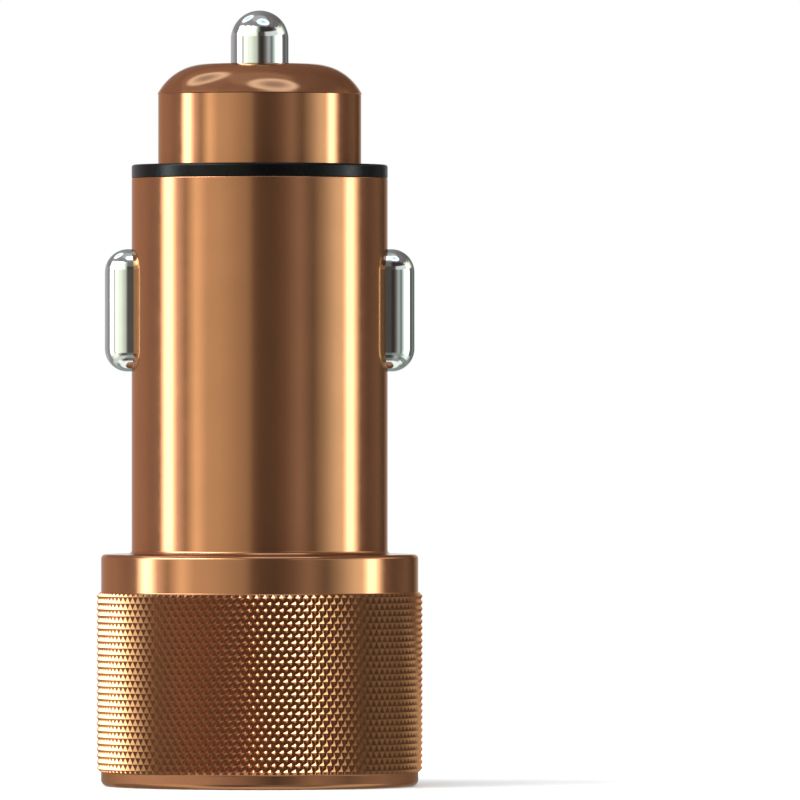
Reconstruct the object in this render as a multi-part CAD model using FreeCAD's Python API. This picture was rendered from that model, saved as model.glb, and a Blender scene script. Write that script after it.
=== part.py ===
import FreeCAD, Part
import math
import os
from FreeCAD import Vector

# A car charger plug with one USB socket, standing on its socket face with the nose up.
# Millimetres. +Z runs from the socket face to the nose. The origin is the centre of the face's rim,
# the two side contacts lie along X, and the socket's tongue is on the -Y side.

# Body shell: one turned piece with a knurled head and a slim barrel
BARREL_R = 10.25
BARREL_LENGTH = 30.12
BARREL_WALL = 1.05
BARREL_EDGE = 0.10
HEAD_STEP = 2.45
HEAD_TOP_WALL = 1.73
HEAD_ROUND = 0.35
NECK_FILLET = 0.35
COLLAR_HEIGHT = 2.98
KNURL_LENGTH = 14.50
KNURL_HEIGHT = 0.35
FOOT_BAND = 1.05
FOOT_ROUND = 0.50
RIM_WIDTH = 2.10
MOUTH_ROUND = 0.35

# Insulating ring between the barrel and the nose cap
RING_THICK = 1.05
RING_ROUND = 0.20
SPIGOT_DEPTH = 1.20
SPIGOT_CLEAR = 0.05

# Nose cap: a turned cup with a domed shoulder
NOSE_STEP = 2.12
NOSE_STRAIGHT = 5.67
NOSE_WALL = 1.03
NOSE_ROOF = 1.87
NOSE_CREASE = 0.06
DOME_HEIGHT = 2.40
DOME_LEAN = 27.0

# Centre tip contact and its spring
TIP_R = 2.32
TIP_PROUD = 4.29
TIP_TRAVEL = 3.00
TIP_HOLE_CLEAR = 0.10
TIP_FLANGE_RIM = 0.98
TIP_FLANGE_THICK = 0.80
TIP_STEM_R = 1.60
TIP_STEM_GAP = 1.45
TIP_SEAT_GAP = 0.05
SPRING_LENGTH = 6.65
SPRING_WIRE = 0.50
SPRING_STEM_CLEAR = 0.60
SPRING_TURNS = 6.0

# Terminal plate under the tip spring
TERMINAL_THICK = 0.40
TERMINAL_CLEAR = 0.15
TERMINAL_TAB_WIDTH = 2.0
TERMINAL_TAB_REACH = 2.2
TERMINAL_BEND = 0.45

# Side contacts: deep-drawn domes with a flange
EAR_BELOW_TOP = 10.61
EAR_LENGTH = 9.82
EAR_WIDTH = 3.70
EAR_PROUD = 2.15
EAR_WALL = 0.40
EAR_TRAVEL = 2.00
EAR_FLANGE_RIM = 0.80
EAR_FLANGE_THICK = 0.50
EAR_SEAT_GAP = 0.05
SLOT_CLEAR = 0.12

# Ground springs: bowed leaves behind the side contacts
LEAF_THICK = 0.25
LEAF_WIDTH = 4.40
LEAF_FOOT = 1.00
LEAF_CROWN = 2.40
LEAF_BEND = 0.60
LEAF_PRESSED_ROOM = 0.80
LEAF_TAIL_WIDTH = 0.90

# Inner carrier: two moulded halves that hold the board, the springs and the tip
CARRIER_CLEAR = 0.10
CARRIER_WALL = 1.20
CARRIER_STEP = 1.20
CARRIER_ROOF = 1.80
NECK_CLEAR = 0.05
NECK_BORE_CLEAR = 0.15
NECK_TOP_GAP = 0.15
POCKET_CLEAR = 0.10
POCKET_WALL = 0.70
POCKET_FLOOR = 0.80

# Main board
BOARD_Y = 3.50
BOARD_THICK = 1.00
BOARD_GROOVE = 0.20
BOARD_CLEAR = 0.05
BOARD_SIDE_CLEAR = 0.10
BOARD_END_GAP = 0.20
LEAD_REACH = 0.55
LEAD_CLEAR = 0.15

# USB socket
USB_LIP = 0.05
USB_LENGTH = 15.00
USB_WIDTH = 13.10
USB_HEIGHT = 5.70
USB_SHEET = 0.30
USB_CORNER = 0.80
USB_BLOCK = 3.00
TONGUE_SETBACK = 1.20
TONGUE_WIDTH = 11.10
TONGUE_THICK = 1.95
TONGUE_NOSE = 0.50
TONGUE_CORNER = 0.30
BLOCK_CLEAR = 0.05
BLOCK_FOOT = 2.40
TAB_WIDTH = 1.45
TAB_GAP = 0.15
TAB_X = 2.95
TAB_START = 2.40
TAB_LENGTH = 6.40
TAB_TIP = 1.40
TAB_DEPTH = 0.55
TAB_LIP = 0.15
SHELL_LEG_WIDTH = 1.50
SHELL_LEG_FRONT = 0.95
SHELL_LEG_BACK = 2.25
PIN_INNER_X = 1.00
PIN_OUTER_X = 3.50
PIN_WIDTH = 1.00
PIN_TAIL_WIDTH = 0.60
PIN_THICK = 0.20
PIN_BEND = 0.25
PIN_PROUD = 0.43
PIN_FRONT_GAP = 0.70
PIN_BUMP = 2.80
PIN_BUMP_REACH = 1.80
GROOVE_DEPTH = 0.32
GROOVE_CLEAR = 0.05

# Face: black plate, light ring and the board that lights it
FACE_RECESS = 0.25
FACE_THICK = 1.70
FACE_ROUND = 0.15
FACE_FIT = 0.05
WINDOW_CLEAR = 0.10
LIGHT_FIT = 0.05
LIGHT_FACE_WIDTH = 0.70
LIGHT_SHELF = 0.85
LIGHT_THICK = 1.10
LIGHT_WALL = 0.40
LED_COUNT = 6
LED_LENGTH = 1.60
LED_WIDTH = 0.80
LED_HEIGHT = 0.80
LED_GAP = 0.10
LED_BOARD_THICK = 0.80
LED_BOARD_CLEAR = 0.15
LED_BOARD_USB_GAP = 0.45

# Input capacitor, lying along the board between the spring pockets
INPUT_CAP_R = 3.15
INPUT_CAP_LENGTH = 7.00
INPUT_CAP_GAP = 0.05
INPUT_CAP_LEAD_R = 0.25
INPUT_CAP_LEAD_X = 1.25
INPUT_CAP_LEAD_OUT = 0.80
CAN_GROOVE = 0.25

# Output capacitors, standing side by side on square bases
OUTPUT_CAP_R = 2.50
OUTPUT_CAP_HEIGHT = 5.40
OUTPUT_CAP_BASE = 5.30
OUTPUT_CAP_BASE_THICK = 0.90
OUTPUT_CAP_GAP = 0.30

# Inductor, a wound drum standing on the board
CORE_R = 3.75
CORE_DRUM_R = 2.00
CORE_FLANGE = 1.00
COIL_TURNS = 7
COIL_WIRE = 0.50
COIL_GAP = 0.65
COIL_FIT = 0.05

# Chips and small parts on the board's back face
CONVERTER_WIDTH = 4.00
CONVERTER_LENGTH = 5.00
CONVERTER_HEIGHT = 1.60
CONVERTER_LEAD_COUNT = 4
CONVERTER_PITCH = 1.27
CHARGER_WIDTH = 1.70
CHARGER_LENGTH = 2.90
CHARGER_HEIGHT = 1.20
CHARGER_LEAD_COUNT = 3
CHARGER_PITCH = 0.95
CHIP_STAND = 0.15
CHIP_LEAD_THICK = 0.20
CHIP_LEAD_WIDTH = 0.40
CHIP_LEAD_OUT = 0.60
CHIP_LEAD_FOOT = 0.48
DIODE_WIDTH = 2.60
DIODE_LENGTH = 4.40
DIODE_HEIGHT = 2.10
FUSE_WIDTH = 1.60
FUSE_LENGTH = 3.20
FUSE_HEIGHT = 0.70
CERAMIC_WIDTH = 1.25
CERAMIC_LENGTH = 2.00
CERAMIC_HEIGHT = 0.85
CERAMIC_X = 2.00
END_CAP_LENGTH = 0.40
END_CAP_STEP = 0.10


def box(x0, x1, y0, y1, z0, z1):
    """A block between two corners."""
    return Part.makeBox(x1 - x0, y1 - y0, z1 - z0, Vector(x0, y0, z0))


def rounded_wire(corners):
    """A closed wire through corners (point, radius), with a tangent arc at each radius above 0."""
    pieces = []
    for i, (corner, radius) in enumerate(corners):
        if radius < 1e-6:
            pieces.append((corner, None, corner))
            continue
        to_last = (corners[i - 1][0] - corner).normalize()
        to_next = (corners[(i + 1) % len(corners)][0] - corner).normalize()
        half = to_last.getAngle(to_next) / 2
        start = corner + to_last * (radius / math.tan(half))
        end = corner + to_next * (radius / math.tan(half))
        bisector = (to_last + to_next).normalize()
        middle = corner + bisector * (radius / math.sin(half) - radius)
        pieces.append((start, middle, end))
    edges = []
    for i, (start, middle, end) in enumerate(pieces):
        if middle is not None:
            edges.append(Part.Arc(start, middle, end).toShape())
        next_start = pieces[(i + 1) % len(pieces)][0]
        if (next_start - end).Length > 1e-6:
            edges.append(Part.LineSegment(end, next_start).toShape())
    return Part.Wire(edges)


def turned(outline):
    """A solid turned about Z from (radius, height, corner radius) points."""
    wire = rounded_wire([(Vector(r, 0, z), rounding) for r, z, rounding in outline])
    return Part.Face(wire).revolve(Vector(0, 0, 0), Vector(0, 0, 1), 360)


def tube(r_in, r_out, z0, z1):
    """A plain ring about Z."""
    outer = Part.makeCylinder(r_out, z1 - z0, Vector(0, 0, z0))
    return outer.cut(Part.makeCylinder(r_in, z1 - z0, Vector(0, 0, z0)))


def rounded_bar(width, height, corner, z0, z1):
    """A bar along Z, width along X and height along Y, with round corners."""
    w, h = width / 2, height / 2
    points = [Vector(x, y, z0) for x, y in ((-w, -h), (w, -h), (w, h), (-w, h))]
    face = Part.Face(rounded_wire([(p, corner) for p in points]))
    return face.extrude(Vector(0, 0, z1 - z0))


def stadium_bar(width, length, x0, x1):
    """A bar along X with a long round-ended section, width along Y and length along Z, at EAR_Z."""
    w, h = width / 2, length / 2 - width / 2
    bar = box(x0, x1, -w, w, EAR_Z - h, EAR_Z + h)
    for z in (EAR_Z - h, EAR_Z + h):
        bar = bar.fuse(Part.makeCylinder(w, x1 - x0, Vector(x0, 0, z), Vector(1, 0, 0)))
    return bar.removeSplitter()


def bent_strip(path, thickness, width, u, v):
    """Sheet metal bent along path, whose points are (along u, along v, bend radius)."""
    centre = [u * a + v * b for a, b, bend in path]
    across = u.cross(v).normalize()
    sides = []
    for sign in (1, -1):
        corners = []
        for i, point in enumerate(centre):
            before = (point - centre[i - 1]).normalize() if i else None
            after = (centre[i + 1] - point).normalize() if i + 1 < len(centre) else None
            before = before or after
            after = after or before
            left_before = across.cross(before)
            left_after = across.cross(after)
            miter = left_before + left_after
            miter = miter * (2 / miter.dot(miter))
            turn = before.cross(after).dot(across)
            bend = path[i][2]
            inside = turn * sign > 0
            radius = bend + (-thickness if inside else thickness) / 2 if bend else 0
            corners.append((point + miter * (sign * thickness / 2), max(radius, 0)))
        sides.append(corners)
    face = Part.Face(rounded_wire(sides[0] + sides[1][::-1]))
    solid = face.extrude(across * width)
    solid.translate(across * (-width / 2))
    return solid


def mirrored_x(shape):
    """The same shape on the other side of the YZ plane."""
    return shape.mirror(Vector(0, 0, 0), Vector(1, 0, 0))


def spread(start, end, lengths):
    """Centres of pieces of these lengths in a row, with equal gaps between start and end."""
    gap = (end - start - sum(lengths)) / (len(lengths) + 1)
    centres = []
    for length in lengths:
        centres.append(start + gap + length / 2)
        start += gap + length
    return centres


# Radii that follow from the sizes above
HEAD_R = BARREL_R + HEAD_STEP
KNURL_R = HEAD_R + KNURL_HEIGHT
FACE_BORE_R = HEAD_R - RIM_WIDTH
BARREL_BORE_R = BARREL_R - BARREL_WALL
NOSE_R = BARREL_R - NOSE_STEP
NOSE_BORE_R = NOSE_R - NOSE_WALL
NECK_R = NOSE_BORE_R - NECK_CLEAR
TIP_FLANGE_R = TIP_R + TIP_FLANGE_RIM
NECK_BORE_R = TIP_FLANGE_R + NECK_BORE_CLEAR
SPRING_R = TIP_STEM_R + SPRING_STEM_CLEAR + SPRING_WIRE / 2
CARRIER_R = BARREL_BORE_R - CARRIER_CLEAR
CARRIER_BORE_R = CARRIER_R - CARRIER_WALL
SKIRT_R = FACE_BORE_R - CARRIER_CLEAR
SKIRT_BORE_R = SKIRT_R - CARRIER_WALL
LIGHT_OUTER_R = FACE_BORE_R - LIGHT_FIT
FACE_R = LIGHT_OUTER_R - LIGHT_FACE_WIDTH - FACE_FIT
LIGHT_INNER_R = FACE_R + FACE_FIT - LIGHT_SHELF
LED_R = (LIGHT_INNER_R + LIGHT_OUTER_R - LIGHT_WALL) / 2
LED_BOARD_HOLE_R = math.hypot(USB_WIDTH, USB_HEIGHT) / 2 + LED_BOARD_USB_GAP
COIL_OUTER_R = CORE_R - COIL_GAP

# Heights above the face's rim, from the face up
FACE_BACK_Z = FACE_RECESS + FACE_THICK
LIGHT_STEP_Z = FACE_BACK_Z + FACE_FIT
LIGHT_BACK_Z = LIGHT_STEP_Z + LIGHT_THICK
LED_BOARD_Z = LIGHT_BACK_Z + LED_GAP + LED_HEIGHT
CARRIER_BOTTOM_Z = LED_BOARD_Z + LED_BOARD_THICK
KNURL_TOP_Z = FOOT_BAND + KNURL_LENGTH
HEAD_TOP_Z = KNURL_TOP_Z + COLLAR_HEIGHT
SHOULDER_Z = HEAD_TOP_Z - HEAD_TOP_WALL
SKIRT_ROOF_Z = SHOULDER_Z - CARRIER_STEP
BARREL_TOP_Z = HEAD_TOP_Z + BARREL_LENGTH
RING_TOP_Z = BARREL_TOP_Z + RING_THICK
CARRIER_SHELF_Z = BARREL_TOP_Z - SPIGOT_DEPTH - SPIGOT_CLEAR
NOSE_JOIN_Z = RING_TOP_Z + NOSE_STRAIGHT
NOSE_TOP_Z = NOSE_JOIN_Z + DOME_HEIGHT
NOSE_CEILING_Z = NOSE_TOP_Z - NOSE_ROOF
NECK_TOP_Z = NOSE_CEILING_Z - NECK_TOP_GAP
TIP_TOP_Z = NOSE_TOP_Z + TIP_PROUD
TIP_FLANGE_Z = NOSE_CEILING_Z - TIP_SEAT_GAP - TIP_FLANGE_THICK
TIP_STEM_Z = TIP_FLANGE_Z - SPRING_LENGTH + TIP_TRAVEL + TIP_STEM_GAP
SPRING_SEAT_Z = TIP_FLANGE_Z - SPRING_LENGTH
NECK_FLOOR_Z = SPRING_SEAT_Z - TERMINAL_THICK
CARRIER_ROOF_Z = NECK_FLOOR_Z - CARRIER_ROOF

# Side contacts, their springs and their pockets
EAR_Z = BARREL_TOP_Z - EAR_BELOW_TOP
EAR_NOSE_X = BARREL_R + EAR_PROUD
EAR_FLANGE_WIDTH = EAR_WIDTH + 2 * EAR_FLANGE_RIM
EAR_FLANGE_LENGTH = EAR_LENGTH + 2 * EAR_FLANGE_RIM
EAR_FLANGE_X = math.sqrt(BARREL_BORE_R ** 2 - (EAR_FLANGE_WIDTH / 2) ** 2) - EAR_SEAT_GAP
EAR_BACK_X = EAR_FLANGE_X - EAR_FLANGE_THICK
POCKET_FLOOR_X = EAR_BACK_X - EAR_TRAVEL - LEAF_PRESSED_ROOM - LEAF_THICK
POCKET_HALF_Y = EAR_FLANGE_WIDTH / 2 + POCKET_CLEAR
POCKET_HALF_Z = EAR_FLANGE_LENGTH / 2 + POCKET_CLEAR

# USB socket and main board
USB_FRONT_Z = FACE_RECESS - USB_LIP
USB_BACK_Z = USB_FRONT_Z + USB_LENGTH
USB_BLOCK_Z = USB_BACK_Z - USB_BLOCK
TONGUE_Z = USB_FRONT_Z + TONGUE_SETBACK
PIN_X = (-PIN_OUTER_X, -PIN_INNER_X, PIN_INNER_X, PIN_OUTER_X)
PIN_TAIL_Z = USB_BACK_Z + PIN_THICK
PIN_BASE_Y = -GROOVE_DEPTH / 2
BOARD_BACK_Y = BOARD_Y + BOARD_THICK
BOARD_TOP_Z = CARRIER_ROOF_Z - BOARD_END_GAP
BOARD_STEP_Z = SKIRT_ROOF_Z - BOARD_SIDE_CLEAR
BOARD_MID_Y = (BOARD_Y + BOARD_BACK_Y) / 2
BOARD_HALF = math.sqrt(CARRIER_BORE_R ** 2 - BOARD_MID_Y ** 2) + BOARD_GROOVE
BOARD_WIDE_HALF = math.sqrt(SKIRT_BORE_R ** 2 - BOARD_MID_Y ** 2) + BOARD_GROOVE
TAB_END_Z = BOARD_TOP_Z - TERMINAL_TAB_REACH

# Rows of parts along the board: front face, then back face below, between and above the leads
INPUT_CAP_ROOM = INPUT_CAP_LENGTH + INPUT_CAP_LEAD_OUT + INPUT_CAP_LEAD_R
OUTPUT_CAP_Z, COIL_Z, INPUT_CAP_Z = spread(
    PIN_TAIL_Z, TAB_END_Z, (OUTPUT_CAP_BASE, 2 * CORE_R, INPUT_CAP_ROOM)
)
INPUT_CAP_TOP_Z = INPUT_CAP_Z + INPUT_CAP_ROOM / 2
INPUT_CAP_FOOT_Z = INPUT_CAP_TOP_Z - INPUT_CAP_LENGTH
INPUT_CAP_LEAD_Z = INPUT_CAP_FOOT_Z - INPUT_CAP_LEAD_OUT
CHARGER_Z, = spread(CARRIER_BOTTOM_Z, PIN_TAIL_Z, (CHARGER_LENGTH,))
CERAMIC_LOW_Z, CONVERTER_Z, CERAMIC_HIGH_Z = spread(
    PIN_TAIL_Z, INPUT_CAP_LEAD_Z, (CERAMIC_LENGTH, CONVERTER_LENGTH, CERAMIC_LENGTH)
)
DIODE_Z, FUSE_Z = spread(INPUT_CAP_LEAD_Z, BOARD_TOP_Z, (DIODE_LENGTH, FUSE_LENGTH))


def body_shell():
    """The turned outer body: knurled head, collar, barrel, stepped bore and two contact slots."""
    shell = turned([
        (FACE_BORE_R, 0, MOUTH_ROUND),
        (HEAD_R, 0, FOOT_ROUND),
        (HEAD_R, FOOT_BAND, 0),
        (KNURL_R, FOOT_BAND + KNURL_HEIGHT, 0),
        (KNURL_R, KNURL_TOP_Z - KNURL_HEIGHT, 0),
        (HEAD_R, KNURL_TOP_Z, 0),
        (HEAD_R, HEAD_TOP_Z, HEAD_ROUND),
        (BARREL_R, HEAD_TOP_Z, NECK_FILLET),
        (BARREL_R, BARREL_TOP_Z, BARREL_EDGE),
        (BARREL_BORE_R, BARREL_TOP_Z, 0),
        (BARREL_BORE_R, SHOULDER_Z, 0),
        (FACE_BORE_R, SHOULDER_Z, 0),
    ])
    slot = stadium_bar(
        EAR_WIDTH + 2 * SLOT_CLEAR, EAR_LENGTH + 2 * SLOT_CLEAR, EAR_BACK_X, KNURL_R
    )
    return shell.cut(slot).cut(mirrored_x(slot))


def insulating_ring():
    """The plastic ring that keeps the live nose apart from the grounded barrel."""
    return turned([
        (NOSE_BORE_R, BARREL_TOP_Z - SPIGOT_DEPTH, 0),
        (BARREL_BORE_R - SPIGOT_CLEAR, BARREL_TOP_Z - SPIGOT_DEPTH, 0),
        (BARREL_BORE_R - SPIGOT_CLEAR, BARREL_TOP_Z, 0),
        (BARREL_R, BARREL_TOP_Z, 0),
        (BARREL_R, RING_TOP_Z, RING_ROUND),
        (NOSE_BORE_R, RING_TOP_Z, 0),
    ])


def nose_cap():
    """The metal cap on the carrier's neck, with the hole that the tip slides in."""
    lean = math.radians(DOME_LEAN)
    dome_r = DOME_HEIGHT / math.cos(lean) / math.tan((math.pi / 2 - lean) / 2)
    dome_edge_r = NOSE_R + NOSE_CREASE
    return turned([
        (NOSE_BORE_R, RING_TOP_Z, 0),
        (NOSE_R, RING_TOP_Z, 0),
        (NOSE_R, NOSE_JOIN_Z - NOSE_CREASE, 0),
        (dome_edge_r, NOSE_JOIN_Z, 0),
        (dome_edge_r - DOME_HEIGHT * math.tan(lean), NOSE_TOP_Z, dome_r),
        (TIP_R + TIP_HOLE_CLEAR, NOSE_TOP_Z, 0),
        (TIP_R + TIP_HOLE_CLEAR, NOSE_CEILING_Z, 0),
        (NOSE_BORE_R, NOSE_CEILING_Z, 0),
    ])


def tip_contact():
    """The domed centre contact: shaft, retaining flange and spring stem."""
    shaft_top = TIP_TOP_Z - TIP_R
    tip = Part.makeCylinder(TIP_R, shaft_top - TIP_FLANGE_Z, Vector(0, 0, TIP_FLANGE_Z))
    tip = tip.fuse(Part.makeSphere(TIP_R, Vector(0, 0, shaft_top)))
    tip = tip.fuse(
        Part.makeCylinder(TIP_FLANGE_R, TIP_FLANGE_THICK, Vector(0, 0, TIP_FLANGE_Z))
    )
    stem = Part.makeCylinder(TIP_STEM_R, TIP_FLANGE_Z - TIP_STEM_Z, Vector(0, 0, TIP_STEM_Z))
    return tip.fuse(stem).removeSplitter()


def tip_spring():
    """The coil spring between the terminal plate and the tip's flange."""
    start_z = SPRING_SEAT_Z + SPRING_WIRE / 2
    rise = TIP_FLANGE_Z - SPRING_WIRE / 2 - start_z
    helix = Part.makeHelix(rise / SPRING_TURNS, rise, SPRING_R)
    helix.translate(Vector(0, 0, start_z))
    section = Part.Wire(
        Part.makeCircle(SPRING_WIRE / 2, Vector(SPRING_R, 0, start_z), Vector(0, 1, 0))
    )
    coil = Part.Wire(helix.Edges).makePipeShell([section], True, True)
    room = tube(SPRING_R - SPRING_WIRE, SPRING_R + SPRING_WIRE, SPRING_SEAT_Z, TIP_FLANGE_Z)
    return coil.common(room)


def tip_terminal():
    """The brass plate that the tip spring stands on, with a tab soldered to the board."""
    plate_r = NECK_BORE_R - TERMINAL_CLEAR
    plate = Part.makeCylinder(plate_r, TERMINAL_THICK, Vector(0, 0, NECK_FLOOR_Z))
    tab_y = BOARD_Y - TERMINAL_THICK / 2
    tab = bent_strip(
        [
            (0, NECK_FLOOR_Z + TERMINAL_THICK / 2, 0),
            (tab_y, NECK_FLOOR_Z + TERMINAL_THICK / 2, TERMINAL_BEND),
            (tab_y, TAB_END_Z, 0),
        ],
        TERMINAL_THICK, TERMINAL_TAB_WIDTH, Vector(0, 1, 0), Vector(0, 0, 1),
    )
    return plate.fuse(tab).removeSplitter()


def side_contact():
    """One sprung ground contact on the +X side: a drawn dome with a flange inside the barrel."""
    def dome(width, length, x0, nose_x):
        radius = width / 2
        axis_x = nose_x - radius
        half = length / 2 - radius
        shape = stadium_bar(width, length, x0, axis_x)
        foot = Vector(axis_x, 0, EAR_Z - half)
        shape = shape.fuse(Part.makeCylinder(radius, 2 * half, foot))
        for z in (EAR_Z - half, EAR_Z + half):
            shape = shape.fuse(Part.makeSphere(radius, Vector(axis_x, 0, z)))
        return shape

    outer = dome(EAR_WIDTH, EAR_LENGTH, EAR_BACK_X, EAR_NOSE_X)
    outer = outer.fuse(
        stadium_bar(EAR_FLANGE_WIDTH, EAR_FLANGE_LENGTH, EAR_BACK_X, EAR_FLANGE_X)
    )
    inner = dome(
        EAR_WIDTH - 2 * EAR_WALL, EAR_LENGTH - 2 * EAR_WALL, EAR_BACK_X, EAR_NOSE_X - EAR_WALL
    )
    return outer.cut(inner).removeSplitter()


def ground_spring():
    """The bowed leaf on the +X side that pushes its contact out and grounds it to the board."""
    foot_x = POCKET_FLOOR_X + LEAF_THICK / 2
    crown_x = EAR_BACK_X - EAR_SEAT_GAP - LEAF_THICK / 2
    end_z = POCKET_HALF_Z - POCKET_CLEAR
    knee_z = end_z - LEAF_FOOT
    crown_z = LEAF_CROWN / 2
    leaf = bent_strip(
        [
            (foot_x, -end_z, 0),
            (foot_x, -knee_z, LEAF_BEND),
            (crown_x, -crown_z, LEAF_BEND),
            (crown_x, crown_z, LEAF_BEND),
            (foot_x, knee_z, LEAF_BEND),
            (foot_x, end_z, 0),
        ],
        LEAF_THICK, LEAF_WIDTH, Vector(1, 0, 0), Vector(0, 0, 1),
    )
    leaf.translate(Vector(0, 0, EAR_Z))
    tail_z = EAR_Z - end_z
    tail = box(
        POCKET_FLOOR_X, POCKET_FLOOR_X + LEAF_THICK, 0, BOARD_Y, tail_z, tail_z + LEAF_TAIL_WIDTH
    )
    return leaf.fuse(tail).removeSplitter()


def carrier():
    """The whole moulded carrier, before it is parted into its two halves."""
    whole = turned([
        (0, CARRIER_ROOF_Z, 0),
        (CARRIER_BORE_R, CARRIER_ROOF_Z, 0),
        (CARRIER_BORE_R, SKIRT_ROOF_Z, 0),
        (SKIRT_BORE_R, SKIRT_ROOF_Z, 0),
        (SKIRT_BORE_R, CARRIER_BOTTOM_Z, 0),
        (SKIRT_R, CARRIER_BOTTOM_Z, 0),
        (SKIRT_R, SHOULDER_Z, 0),
        (CARRIER_R, SHOULDER_Z, 0),
        (CARRIER_R, CARRIER_SHELF_Z, 0),
        (NECK_R, CARRIER_SHELF_Z, 0),
        (NECK_R, NECK_TOP_Z, 0),
        (NECK_BORE_R, NECK_TOP_Z, 0),
        (NECK_BORE_R, NECK_FLOOR_Z, 0),
        (0, NECK_FLOOR_Z, 0),
    ])
    wall_y = POCKET_HALF_Y + POCKET_WALL
    wall_z = POCKET_HALF_Z + POCKET_WALL
    cup = box(
        POCKET_FLOOR_X - POCKET_FLOOR, CARRIER_R, -wall_y, wall_y, EAR_Z - wall_z, EAR_Z + wall_z
    )
    cup = cup.common(
        Part.makeCylinder(CARRIER_R, 2 * wall_z, Vector(0, 0, EAR_Z - wall_z))
    )
    hollow = box(
        POCKET_FLOOR_X, BARREL_R, -POCKET_HALF_Y, POCKET_HALF_Y,
        EAR_Z - POCKET_HALF_Z, EAR_Z + POCKET_HALF_Z,
    )
    tail_z = EAR_Z - POCKET_HALF_Z
    tail_slot = box(
        POCKET_FLOOR_X, POCKET_FLOOR_X + LEAF_THICK + LEAD_CLEAR, 0, BOARD_Y,
        tail_z, tail_z + LEAF_TAIL_WIDTH + 2 * LEAD_CLEAR,
    )
    for shape in (cup, mirrored_x(cup)):
        whole = whole.fuse(shape)
    for shape in (hollow, tail_slot):
        whole = whole.cut(shape).cut(mirrored_x(shape))
    board_room = (BOARD_Y - BOARD_CLEAR, BOARD_BACK_Y + BOARD_CLEAR)
    narrow = BOARD_HALF + BOARD_SIDE_CLEAR
    wide = BOARD_WIDE_HALF + BOARD_SIDE_CLEAR
    whole = whole.cut(box(-narrow, narrow, *board_room, CARRIER_BOTTOM_Z, CARRIER_ROOF_Z))
    whole = whole.cut(box(-wide, wide, *board_room, CARRIER_BOTTOM_Z, SKIRT_ROOF_Z))
    tab_half = TERMINAL_TAB_WIDTH / 2 + LEAD_CLEAR
    tab_room = BOARD_Y - TERMINAL_THICK - TERMINAL_BEND
    whole = whole.cut(
        box(
            -tab_half, tab_half, tab_room, BOARD_Y + LEAD_CLEAR,
            CARRIER_ROOF_Z, SPRING_SEAT_Z + LEAD_CLEAR,
        )
    )
    return whole.removeSplitter()


def carrier_halves():
    """The carrier's front and back halves, parted on the plane of the side contacts."""
    whole = carrier()
    reach = FACE_BORE_R
    front = whole.common(box(-reach, reach, -reach, 0, 0, TIP_TOP_Z))
    back = whole.common(box(-reach, reach, 0, reach, 0, TIP_TOP_Z))
    return front, back


def shell_leg_boxes(clear):
    """The socket shell's four solder legs, or with clear above 0 the slots for them."""
    outer = USB_WIDTH / 2 + clear
    inner = USB_WIDTH / 2 - USB_SHEET - clear
    half = SHELL_LEG_WIDTH / 2 + clear
    reach = BOARD_BACK_Y + LEAD_REACH
    legs = []
    front_z = CARRIER_BOTTOM_Z + SHELL_LEG_FRONT + SHELL_LEG_WIDTH / 2
    back_z = USB_BACK_Z - SHELL_LEG_BACK - SHELL_LEG_WIDTH / 2
    for z in (front_z, back_z):
        leg = box(inner, outer, 0, reach, z - half, z + half)
        legs += [leg, mirrored_x(leg)]
    return legs


def main_board():
    """The T-shaped circuit board with its slots and lead holes."""
    board = box(
        -BOARD_WIDE_HALF, BOARD_WIDE_HALF, BOARD_Y, BOARD_BACK_Y,
        CARRIER_BOTTOM_Z, BOARD_STEP_Z,
    )
    board = board.fuse(
        box(-BOARD_HALF, BOARD_HALF, BOARD_Y, BOARD_BACK_Y, BOARD_STEP_Z, BOARD_TOP_Z)
    )
    for slot in shell_leg_boxes(LEAD_CLEAR):
        board = board.cut(slot)
    pin_hole_r = PIN_TAIL_WIDTH / 2 + LEAD_CLEAR
    holes = [(x, PIN_TAIL_Z, pin_hole_r) for x in PIN_X]
    lead_r = INPUT_CAP_LEAD_R + LEAD_CLEAR
    holes += [(x, INPUT_CAP_LEAD_Z, lead_r) for x in (-INPUT_CAP_LEAD_X, INPUT_CAP_LEAD_X)]
    for x, z, r in holes:
        drill = Part.makeCylinder(r, BOARD_THICK, Vector(x, BOARD_Y, z), Vector(0, 1, 0))
        board = board.cut(drill)
    return board.removeSplitter()


def spring_tab(normal, wall, centre):
    """One inward spring tab of the socket shell, and the window it is cut from."""
    tangent = normal.cross(Vector(0, 0, 1))

    def at(depth, z):
        return normal * (wall - depth) + tangent * centre + Vector(0, 0, z)

    free_z = USB_FRONT_Z + TAB_START
    bump_z = free_z + TAB_TIP
    root_z = free_z + TAB_LENGTH
    points = [
        at(-USB_SHEET, root_z), at(TAB_DEPTH - USB_SHEET, bump_z),
        at(TAB_LIP - USB_SHEET, free_z), at(TAB_LIP, free_z),
        at(TAB_DEPTH, bump_z), at(0, root_z),
    ]
    tab = Part.Face(Part.makePolygon(points + points[:1])).extrude(tangent * TAB_WIDTH)
    tab.translate(tangent * (-TAB_WIDTH / 2))
    window_points = [
        at(-2 * USB_SHEET, root_z), at(-2 * USB_SHEET, free_z - TAB_GAP),
        at(USB_SHEET, free_z - TAB_GAP), at(USB_SHEET, root_z),
    ]
    window_width = TAB_WIDTH + 2 * TAB_GAP
    window = Part.Face(Part.makePolygon(window_points + window_points[:1]))
    window = window.extrude(tangent * window_width)
    window.translate(tangent * (-window_width / 2))
    return tab, window


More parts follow.
